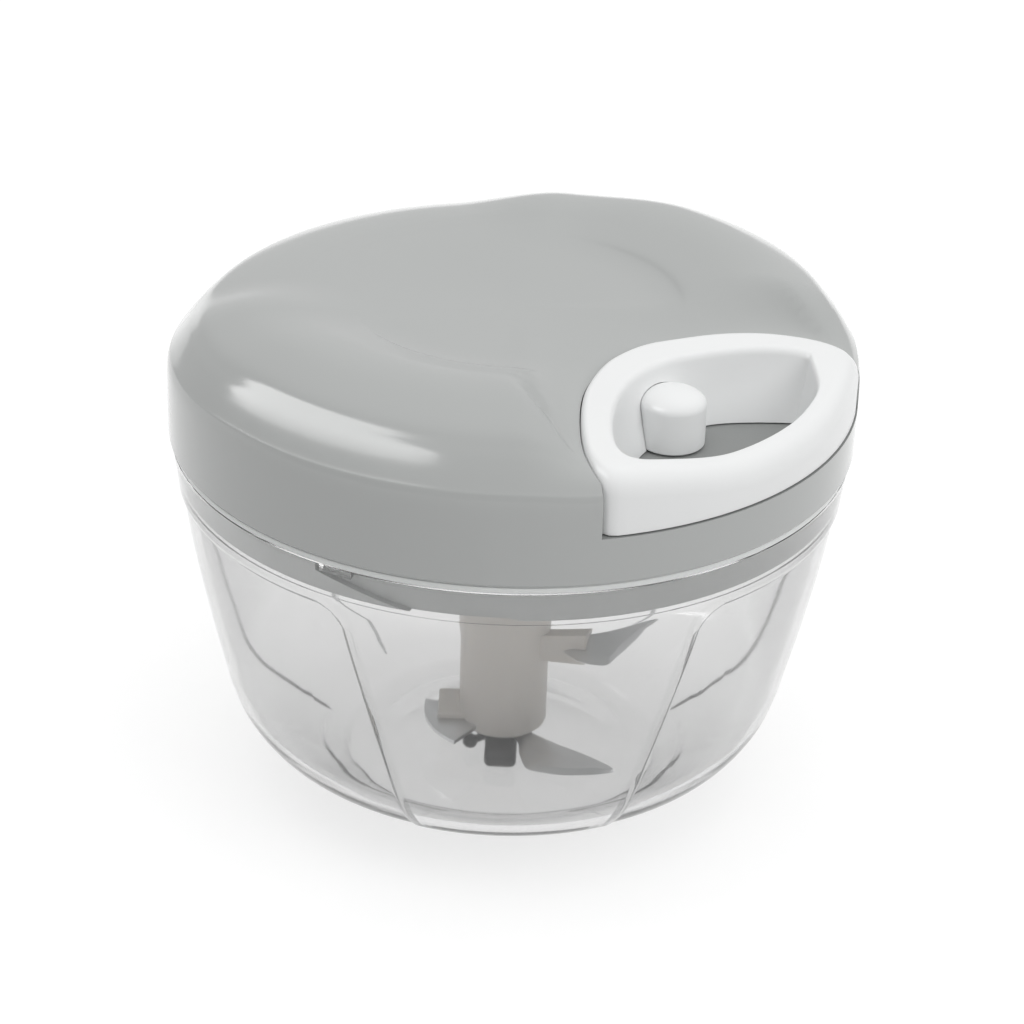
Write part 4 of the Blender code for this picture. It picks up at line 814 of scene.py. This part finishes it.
def panelTurn(azimuth, height):
    # the panels widen downwards, and the pillars between them narrow
    spacing = 360.0 / bowl["panels"]
    middle = bowl["panelAzimuth"] + spacing * round((azimuth - bowl["panelAzimuth"]) / spacing)
    turn, half = abs(azimuth - middle), bowl["panelHalf"]
    wide = bowl["panelSpread"] - bowl["panelTaper"] * min(height, bowl["panelTop"])
    if turn < half:
        moved = turn * wide / half
    else:
        moved = wide + (turn - half) * (spacing / 2 - wide) / (spacing / 2 - half)
    return middle + math.copysign(moved, azimuth - middle)


def bowlOutline():
    innerFoot = bowl["base"] - bowl["foot"]
    outline = [(0.0, bowl["recess"]), (innerFoot - bowl["recessSlope"], bowl["recess"]), (innerFoot, 0.0)]
    heights = [0.0]
    for low, high, steps in bowl["rowSpans"]:
        heights += [low + (high - low) * step / steps for step in range(1, steps + 1)]
    outline += [(bowlRadius(height), height) for height in heights]
    top, rim, seat, ledge = bowl["height"], bowl["rim"], bowl["seat"], bowl["ledge"]
    soft, chamfer = bowl["rimRound"], bowl["seatChamfer"]
    outline += [
        (rim - soft / 4, top - soft / 5), (rim - soft, top), (seat + chamfer, top), (seat, top - chamfer),
        (seat, ledge)]
    under = ledge - soft
    inner = []
    for step in range(bowl["wallSteps"]):
        height = bowl["panelTop"] + (bowl["floor"] - bowl["panelTop"]) * step / (bowl["wallSteps"] - 1)
        here = Vector((bowlRadius(height), height))
        above = height + bowl["wallProbe"]
        along = (Vector((bowlRadius(above), above)) - here).normalized()
        moved = here + Vector((-along.y, along.x)) * bowl["wall"]
        if bowl["floor"] + bowl["floorCorner"] < moved.y < under:
            inner.append((moved.x, moved.y))
    outline += [(inner[0][0], under)] + inner
    lastRadius, lastHeight = inner[-1]
    drop = lastHeight - bowl["floor"]
    for share in bowl["floorShares"]:
        inwards, down = drop * bowl["floorSlope"] * share, drop * (1 - (1 - share) ** 2)
        outline.append((lastRadius - inwards, lastHeight - down))
    return outline + [(0.0, bowl["floor"])]


def lugPiece(middle):
    seat, half = bowl["seat"], bowl["lugWidth"] / 2
    outline = [polar(seat + bowl["lugRoot"], middle + half * side).xy for side in (-1, 1)]
    outline += [polar(seat - bowl["lugReach"], middle + half * side).xy for side in bowl["lugFace"]]
    top = bowl["height"] - bowl["lugDrop"]
    return prismPiece("lug", outline, top - bowl["lugHeight"], top)


def isPanelEdge(place, facing):
    # the narrow steps round the panels, which turn away from the wall about them
    radius = math.hypot(place.x, place.y)
    if radius < bowlRadius(min(place.z, bowl["height"])) - bowl["stepDepth"]:
        return False
    if not bowl["panelBottom"] < place.z < bowl["panelTop"] + bowl["panelEdge"]:
        return False
    sideways = abs(facing.y * place.x - facing.x * place.y) / radius
    atTop = place.z > bowl["panelTop"] - bowl["panelEdge"]
    return sideways > bowl["stepSideways"] or (atTop and facing.z < -bowl["stepDown"])


def makeBowl():
    reach, edge = bowl["panelHalf"] + bowl["panelMargin"], (bowl["edgeTurn"], bowl["edgeSteps"])
    panel = (2 * reach - 2 * bowl["edgeTurn"], bowl["panelSteps"])
    pillar = (360.0 / bowl["panels"] - 2 * reach, bowl["pillarSteps"])
    piece = spunPiece("bowlBody", bowlOutline(), [edge, panel, edge, pillar] * bowl["panels"])
    start = bowl["panelAzimuth"] - reach   # the spin starts at azimuth 0, and the first panel's edge is here
    for vertex in piece.data.vertices:
        place = vertex.co
        radius = math.hypot(place.x, place.y)
        azimuth = math.degrees(math.atan2(place.y, place.x)) + start
        outside = radius > bowlRadius(min(place.z, bowl["height"])) - bowl["outsideSlack"]
        if outside and place.z < bowl["height"] - bowl["rimRound"]:
            radius -= bowl["panelDepth"] * panelSink(azimuth, place.z)
            azimuth = panelTurn(azimuth, place.z)
        vertex.co = polar(radius, azimuth, max(place.z, bowl["footLift"]))
    for number in range(bowl["lugs"]):
        carved(piece, lugPiece(bowl["lugAzimuth"] + 360.0 / bowl["lugs"] * number), "UNION")
    floor = bowl["floor"]
    carved(piece, cylinderTool(
        bowl["pinHole"], floor - bowl["pinDepth"], floor + bowl["pinOver"], sides=bowl["pinSides"]))
    settled(piece, "bowl", clearSan, ["bowl"], angle=40.0)
    # the steps round the panels take the darker copy, whose colour is painted shade
    piece.data.materials.append(clearSanEdgePaintedShade)
    for face in piece.data.polygons:
        face.material_index = int(isPanelEdge(face.center, face.normal))


makeBowl()


# seal, base plate, bush and screws

seal = {"outer": 0.0645, "inner": 0.0625, "low": 0.0727, "high": 0.0739, "round": 0.0003, "sides": 192}


def makeSeal():
    soft, inner, outer, low, high = (seal[part] for part in ("round", "inner", "outer", "low", "high"))
    outline = [
        (inner + soft, low), (outer - soft, low), (outer - soft / 4, low + soft / 4), (outer, low + soft),
        (outer, high - soft), (outer - soft / 4, high - soft / 4), (outer - soft, high), (inner + soft, high),
        (inner, high - soft), (inner, low + soft)]
    piece = spunPiece("rimSeal", outline, seal["sides"])
    settled(piece, "seal", clearSilicone, ["rim_seal"])


plate = {
    "hole": 0.0088, "inner": 0.0594, "skirt": 0.0619, "edge": 0.0625, "bottom": 0.0746, "top": 0.0764,
    "low": 0.0662, "round": 0.0004, "sides": 192, "lugAzimuth": -76.0, "lugWidth": 6.0, "lugHeight": 0.0018,
    "lugTop": 0.0723, "lockTurn": 26.0, "lockRise": 0.0061, "depth": 0.0016, "sideAngle": 1.0, "gap": 0.0004,
    "channelOver": 0.0003, "steps": 34, "screwHole": 0.0017, "screwOver": 0.002}


def channelPiece(middle):
    # the ramp that a lug runs out of as the lid turns and rises
    half = plate["lugWidth"] / 2 + plate["sideAngle"]
    floor, outer = plate["skirt"] - plate["depth"], plate["skirt"] + plate["channelOver"]
    high = plate["lugTop"] + plate["gap"]
    low = plate["lugTop"] - plate["lugHeight"] - plate["gap"]
    rings = []
    for step in range(plate["steps"] + 1):
        turn = (plate["lockTurn"] + 2 * half) * step / plate["steps"]
        upper = high - plate["lockRise"] * max(turn - 2 * half, 0.0) / plate["lockTurn"]
        lower = low - plate["lockRise"] * turn / plate["lockTurn"]
        rings.append([polar(radius, middle - half + turn, at) for radius, at in (
            (floor, upper), (outer, upper), (outer, lower), (floor, lower))])
    return ringPiece("channel", rings)


def makePlate():
    soft, hole, inner, skirt = (plate[part] for part in ("round", "hole", "inner", "skirt"))
    edge, low, bottom, top = (plate[part] for part in ("edge", "low", "bottom", "top"))
    outline = [
        (hole, bottom), (inner, bottom), (inner, low + soft), (inner + soft, low), (skirt - soft, low),
        (skirt, low + soft), (skirt, bottom), (edge, bottom), (edge, top), (hole, top)]
    piece = spunPiece("basePlate", outline, plate["sides"])
    for number in range(bowl["lugs"]):
        carved(piece, channelPiece(plate["lugAzimuth"] + 360.0 / bowl["lugs"] * number))
    for azimuth in lid["postAzimuths"]:
        carved(piece, cylinderTool(
            plate["screwHole"], bottom - plate["screwOver"], top + plate["screwOver"],
            polar(lid["postRing"], azimuth).xy))
    # the base plate's lighter colour is painted light, standing in for light inside the bowl
    settled(piece, "lid", satinAbsPaintedLighter, ["base_plate"])


bush = {"bore": 0.0063, "radius": 0.0085, "flange": 0.0105, "flangeLow": 0.0734, "flangeTop": 0.0743,
        "top": 0.0764, "round": 0.0003, "sides": 96}


def makeBush():
    soft, bore, radius, flange = (bush[part] for part in ("round", "bore", "radius", "flange"))
    low, over, top = (bush[part] for part in ("flangeLow", "flangeTop", "top"))
    outline = [
        (bore + soft, low), (flange - soft, low), (flange, low + soft), (flange, over), (radius, over),
        (radius, top), (bore, top), (bore, low + soft)]
    piece = spunPiece("driveBush", outline, bush["sides"])
    settled(piece, "lid", naturalAcetal, ["drive_bush"])


screw = {"low": 0.0729, "high": 0.0743, "tip": 0.0840, "head": 0.0028, "shank": 0.0014, "thread": 0.00018,
         "headDome": ((0.45, 0.00006), (0.75, 0.0003), (0.95, 0.0007), (1.0, 0.0011)), "plain": 0.0022,
         "pitch": 0.0008, "slotLength": 0.0030, "slotWidth": 0.0006, "slotDepth": 0.0007, "sides": 40}


def makeScrews():
    # a pan head with a cross slot, modelled once and copied to the four posts
    head, shank, low, high = screw["head"], screw["shank"], screw["low"], screw["high"]
    outline = [(0.0, low)] + [(head * across, low + up) for across, up in screw["headDome"]]
    outline += [(head, high), (shank, high)]
    height = high + screw["plain"]
    while height < screw["tip"] - shank:
        outline += [(shank, height), (shank - screw["thread"], height + screw["pitch"] / 2)]
        height += screw["pitch"]
    outline += [(shank - screw["thread"], screw["tip"] - shank), (0.0, screw["tip"])]
    piece = spunPiece("lidScrew1", outline, screw["sides"])
    for turn in (0.0, 90.0):
        bpy.ops.mesh.primitive_cube_add(
            size=1.0, location=(0.0, 0.0, low), rotation=(0.0, 0.0, math.radians(turn)),
            scale=(screw["slotLength"], screw["slotWidth"], 2 * screw["slotDepth"]))
        carved(piece, bpy.context.object)
    for number, azimuth in enumerate(lid["postAzimuths"], 1):
        made = piece
        if number < len(lid["postAzimuths"]):
            made = piece.copy()
            made.data = piece.data.copy()
            bpy.context.scene.collection.objects.link(made)
        made.name = f"lidScrew{number}"
        made.data.transform(Matrix.Translation(polar(lid["postRing"], azimuth)))
        settled(made, "lid", turnedSteel, [f"lid_screw_{number}"])


makeSeal()
makePlate()
makeBush()
makeScrews()


# the blade column

column = {
    "radius": 0.0088, "low": 0.0077, "top": 0.0660, "round": 0.0007, "sides": 96,
    "foot": ((0.0079, 0.0077), (0.0083, 0.0078), (0.0086, 0.0080), (0.0088, 0.0085)), "capRoom": 0.0093,
    "pinBore": 0.0023, "pinTop": 0.0200, "socket": 0.0061, "socketDepth": 0.0097, "over": 0.005,
    "arc": (0, 30, 60, 90), "bevel": 0.0005, "bevelSteps": 3,
    # the two blade holders: azimuth, length, half the width, underside and top
    "holders": ((-138.0, 0.0130, 0.0046, 0.0064, 0.0108), (34.0, 0.0168, 0.0042, 0.0238, 0.0308))}


def makeColumn():
    soft, low, top = column["round"], column["low"], column["top"]
    outline = [(0.0, low)] + list(column["foot"])
    outline += arcPoints(column["radius"] - soft, top - soft, soft, column["arc"]) + [(0.0, top)]
    piece = spunPiece("bladeColumn", outline, column["sides"])
    for azimuth, length, half, under, over in column["holders"]:
        along, across = polar(length, azimuth).xy, polar(half, azimuth + 90.0).xy
        holder = prismPiece("holder", [-across, along - across, along + across, across], under, over)
        applied(holder, "BEVEL", width=column["bevel"], segments=column["bevelSteps"], limit_method="ANGLE")
        carved(piece, holder, "UNION")
    carved(piece, cylinderTool(column["capRoom"], low - column["over"], low, sides=column["sides"]))
    carved(piece, cylinderTool(column["pinBore"], low - column["over"], column["pinTop"]))
    hexagon = [polar(column["socket"], 90.0 + 60.0 * step).xy for step in range(6)]
    carved(piece, prismPiece("socket", hexagon, top - column["socketDepth"], top + column["over"]))
    settled(piece, "blades", whitePolypropylene, ["blade_column"])


blades = {
    "thickness": 0.0008, "grind": 0.0016, "grindShare": 0.4, "land": 0.00012, "steps": 4,
    "lowerBlade": {
        "node": "lower_blade", "height": 0.0070, "tipSteps": 2,
        "radii": (0.0052, 0.0089, 0.0120, 0.0155, 0.0183, 0.0220, 0.0251, 0.0275),
        "leading": (-26.0, -26.0, -31.0, -32.0, -29.8, -15.0, -3.8, 3.2),
        "trailing": (0.0, 0.0, 1.0, 2.2, 3.4, 4.4, 4.8, 4.8)},
    "middleBlade": {
        "node": "middle_blade", "height": 0.0092, "tipSteps": 24,
        "radii": (0.0052, 0.0100, 0.0158), "leading": (-150.0, -150.0, -150.0),
        "trailing": (-84.0, -84.0, -84.0)},
    "upperBlade": {
        "node": "upper_blade", "height": 0.0268, "tipSteps": 2,
        "radii": (0.0052, 0.0120, 0.0170, 0.0208, 0.0226, 0.0233, 0.0245, 0.0263, 0.0282, 0.0307, 0.0330),
        "leading": (22.0, 16.0, 10.0, 12.0, 15.5, 25.0, 33.0, 41.0, 49.0, 57.7, 64.0),
        "trailing": (50.0, 44.0, 46.0, 51.0, 54.0, 55.0, 57.0, 60.0, 62.5, 65.0, 66.0)}}


def makeBlade(name):
    # a stamped blade whose leading edge is ground to a thin land
    shape = blades[name]
    leading, trailing = (
        smoothCurve([polar(*pair).xy for pair in zip(shape["radii"], azimuths)], blades["steps"])
        for azimuths in (shape["leading"], shape["trailing"]))
    ground = []
    for edge, back in zip(leading, trailing):
        across = back - edge
        ground.append(edge + across.normalized() * min(blades["grind"], across.length * blades["grindShare"]))
    first, last, radius = shape["leading"][-1], shape["trailing"][-1], shape["radii"][-1]
    tip = [polar(radius, first + (last - first) * step / shape["tipSteps"]).xy
           for step in range(1, shape["tipSteps"])]
    low = shape["height"] - blades["thickness"] / 2
    levels = ((leading, low), (leading, low + blades["land"]), (ground, low + blades["thickness"]))
    rings = [raised(edge + tip + list(reversed(trailing)), height) for edge, height in levels]
    settled(ringPiece(name, rings), "blades", bladeSteel, [shape["node"]])


hubCap = {"bore": 0.0023, "low": 0.0029, "body": 0.0036, "round": 0.0012, "arc": (-90, -68, -45, -22, 0),
          "flange": 0.0060, "flangeLow": 0.0053, "flangeTop": 0.0063, "edge": 0.0002, "sides": 72,
          "bossStart": 0.0032, "bossEnd": 0.0122, "bossAzimuth": -49.0, "bossHalf": 0.0032,
          "bossLow": 0.0031, "bossTop": 0.0063, "bossRound": 0.0012, "bossSteps": 5}
ballPin = {"radius": 0.0015, "ring": 0.0078, "azimuth": -102.0, "height": 0.0044, "neck": 0.0008,
           "start": 0.0027}
centrePin = {"low": 0.0018, "top": 0.0197, "radius": 0.0020, "round": 0.0009, "arc": (0, 30, 60, 90),
             "sides": 48}


def makeHubCap():
    edge, soft, flange = hubCap["edge"], hubCap["round"], hubCap["flange"]
    low, under, over = hubCap["low"], hubCap["flangeLow"], hubCap["flangeTop"]
    outline = [(hubCap["bore"], low)] + arcPoints(hubCap["body"] - soft, low + soft, soft, hubCap["arc"])
    outline += [
        (hubCap["body"], under), (flange - edge, under), (flange, under + edge), (flange, over - edge),
        (flange - edge, over), (hubCap["bore"], over)]
    piece = spunPiece("hubCap", outline, hubCap["sides"])
    # the boss that stands out below the column's foot
    near, far = (polar(hubCap[end], hubCap["bossAzimuth"]).xy for end in ("bossStart", "bossEnd"))
    side = polar(hubCap["bossHalf"], hubCap["bossAzimuth"] + 90.0).xy
    corners = [near - side, far - side, far + side, near + side]
    boss = prismPiece("boss", corners, hubCap["bossLow"], hubCap["bossTop"])
    applied(boss, "BEVEL", width=hubCap["bossRound"], segments=hubCap["bossSteps"], limit_method="ANGLE")
    carved(piece, boss, "UNION")
    settled(piece, "blades", darkNylon, ["hub_cap"])


def makeBallPin():
    heading = polar(1.0, ballPin["azimuth"])
    place = heading * ballPin["ring"] + Vector((0.0, 0.0, ballPin["height"]))
    choose()
    bpy.ops.mesh.primitive_uv_sphere_add(segments=48, ring_count=24, radius=ballPin["radius"], location=place)
    piece = bpy.context.object
    piece.name = "bladePin"
    length = ballPin["ring"] - ballPin["start"]
    bpy.ops.mesh.primitive_cylinder_add(
        vertices=32, radius=ballPin["neck"], depth=length, location=place - heading * length / 2,
        rotation=(0.0, math.radians(90.0), math.radians(ballPin["azimuth"])))
    carved(piece, bpy.context.object, "UNION")
    settled(piece, "blades", darkNylon, ["blade_pin"])


def makeCentrePin():
    soft, radius, low, top = (centrePin[part] for part in ("round", "radius", "low", "top"))
    outline = [(0.0, low), (radius, low)]
    outline += arcPoints(radius - soft, top - soft, soft, centrePin["arc"]) + [(0.0, top)]
    piece = spunPiece("centrePin", outline, centrePin["sides"])
    settled(piece, "bowl", turnedSteel, ["centre_pin"])


makeColumn()
for bladeName in ("lowerBlade", "middleBlade", "upperBlade"):
    makeBlade(bladeName)
makeHubCap()
makeBallPin()
makeCentrePin()


# CAD nodes that keep their shape and get their real finish

finishes = (
    (turnedSteel, ("spool_axle", "cord_eyelet", "spiral_spring", "pawl_1", "pawl_2", "hub_clip")),
    (naturalAcetal, ("spool", "spring_cover", "drive_hub")))

for material, nodes in finishes:
    for node in nodes:
        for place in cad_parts[node].material_slots:
            place.material = material


# floor, world and lights

studio = {
    "floorSize": 4.0, "floorColour": "A0A0A0", "floorFleck": "A4A4A4", "grainSize": 0.033333,
    "floorLift": 0.72, "floorSeen": 0.92,
    "horizon": 0.32, "zenith": 1.83, "skyPower": 3.0, "floorGlow": 0.28, "skyInside": 2.7,
    "seenAround": 1.0, "seenThrough": 0.8, "seenInGloss": 0.7,
    "keyPower": 2.6, "keySize": (0.95, 0.19), "keyAzimuth": -122.0, "keyRise": 36.0, "keyDistance": 0.62,
    "keyRoll": 22.0, "aimHeight": 0.09, "fillDistance": 1.1, "fillSize": (0.8, 0.6),
    # the two side lights: name, azimuth, rise and power
    "fills": (("rightSoftbox", 5.0, 30.0, 3.0), ("leftSoftbox", -140.0, 14.0, 0.6))}


def makeFloor():
    # the floor gives off some light of its own, so that it shows as white round a soft shadow
    choose()
    bpy.ops.mesh.primitive_plane_add(size=studio["floorSize"], location=(0, 0, 0))
    floor = bpy.context.object
    floor.name = "studioFloor"
    made, tree, shader, place = startMaterial("paintedFloor", Roughness=0.9, Specular_IOR_Level=0.0)
    grain = addNode(tree, "ShaderNodeTexNoise", {"Vector": place, "Scale": 1 / studio["grainSize"]})
    shadeBetween(tree, shader, grain.outputs[0], "Base Color", studio["floorColour"], studio["floorFleck"])
    path = addNode(tree, "ShaderNodeLightPath")
    glow = 0.0
    for ray, strength in (("Is Camera Ray", "floorLift"), ("Is Diffuse Ray", "floorGlow"),
                          ("Is Transmission Ray", "floorSeen"), ("Is Glossy Ray", "floorSeen")):
        seen = addNode(
            tree, "ShaderNodeMath", {0: path.outputs[ray], 1: studio[strength]}, operation="MULTIPLY")
        glow = addNode(tree, "ShaderNodeMath", {0: seen.outputs[0], 1: glow}, operation="MAXIMUM").outputs[0]
    tree.links.new(glow, shader.inputs["Emission Strength"])
    shader.inputs["Emission Color"].default_value = (1.0, 1.0, 1.0, 1.0)
    floor.data.materials.append(made)


def makeWorld():
    # a soft sky, brighter overhead than at the horizon: white for the camera, a little less in reflections
    # and through the bowl, and brighter for what the bowl holds, since its wall would keep the light out
    world = bpy.data.worlds.new("studioWorld")
    bpy.context.scene.world = world
    world.use_nodes = True
    tree = world.node_tree
    ground = tree.nodes["Background"]
    path = addNode(tree, "ShaderNodeLightPath")
    direction = addNode(tree, "ShaderNodeTexCoord").outputs["Generated"]
    height = addNode(tree, "ShaderNodeSeparateXYZ", {0: direction}).outputs["Z"]
    above = addNode(tree, "ShaderNodeMath", {0: height, 1: 0.0}, operation="MAXIMUM").outputs[0]
    level = addNode(tree, "ShaderNodeMath", {0: above, 1: studio["skyPower"]}, operation="POWER").outputs[0]
    bounces = path.outputs["Diffuse Depth"]
    inside = addNode(
        tree, "ShaderNodeMapRange",
        {"Value": bounces, "To Min": studio["seenThrough"], "To Max": studio["skyInside"]})
    for share, low, high in (
            (level, studio["horizon"], studio["zenith"]),
            (path.outputs["Is Transmission Ray"], None, inside.outputs[0]),
            (path.outputs["Is Camera Ray"], None, studio["seenAround"]),
            (path.outputs["Is Glossy Ray"], None, studio["seenInGloss"])):
        low = level if low is None else low
        level = addNode(
            tree, "ShaderNodeMapRange", {"Value": share, "To Min": low, "To Max": high}).outputs[0]
    tree.links.new(level, ground.inputs["Strength"])
    ground.inputs["Color"].default_value = (1.0, 1.0, 1.0, 1.0)


def softbox(name, azimuth, rise, distance, size, power, roll=0.0):
    # an area light that stands off from the chopper and faces its middle
    bpy.ops.object.light_add(type="AREA")
    lamp = bpy.context.object
    lamp.name = name
    lamp.data.shape = "ELLIPSE"
    lamp.data.size, lamp.data.size_y = size
    lamp.data.energy = power
    flat = distance * math.cos(math.radians(rise))
    aim = Vector((0.0, 0.0, studio["aimHeight"]))
    place = polar(flat, azimuth, distance * math.sin(math.radians(rise))) + aim
    lamp.location = place
    facing = (aim - place).to_track_quat("-Z", "Y")
    lamp.rotation_mode = "QUATERNION"
    lamp.rotation_quaternion = facing @ Matrix.Rotation(math.radians(roll), 3, "Z").to_quaternion()
    return lamp


makeFloor()
makeWorld()
key = softbox(
    "keySoftbox", studio["keyAzimuth"], studio["keyRise"], studio["keyDistance"], studio["keySize"],
    studio["keyPower"], studio["keyRoll"])
key.visible_diffuse = False   # the sky gives the even light, and this gives only the highlight on gloss
for name, azimuth, rise, power in studio["fills"]:
    fill = softbox(name, azimuth, rise, studio["fillDistance"], studio["fillSize"], power)
    fill.visible_glossy = False   # light on the walls that leaves no highlight of its own

bpy.context.scene.view_settings.view_transform = "Standard"
print("studio ready")
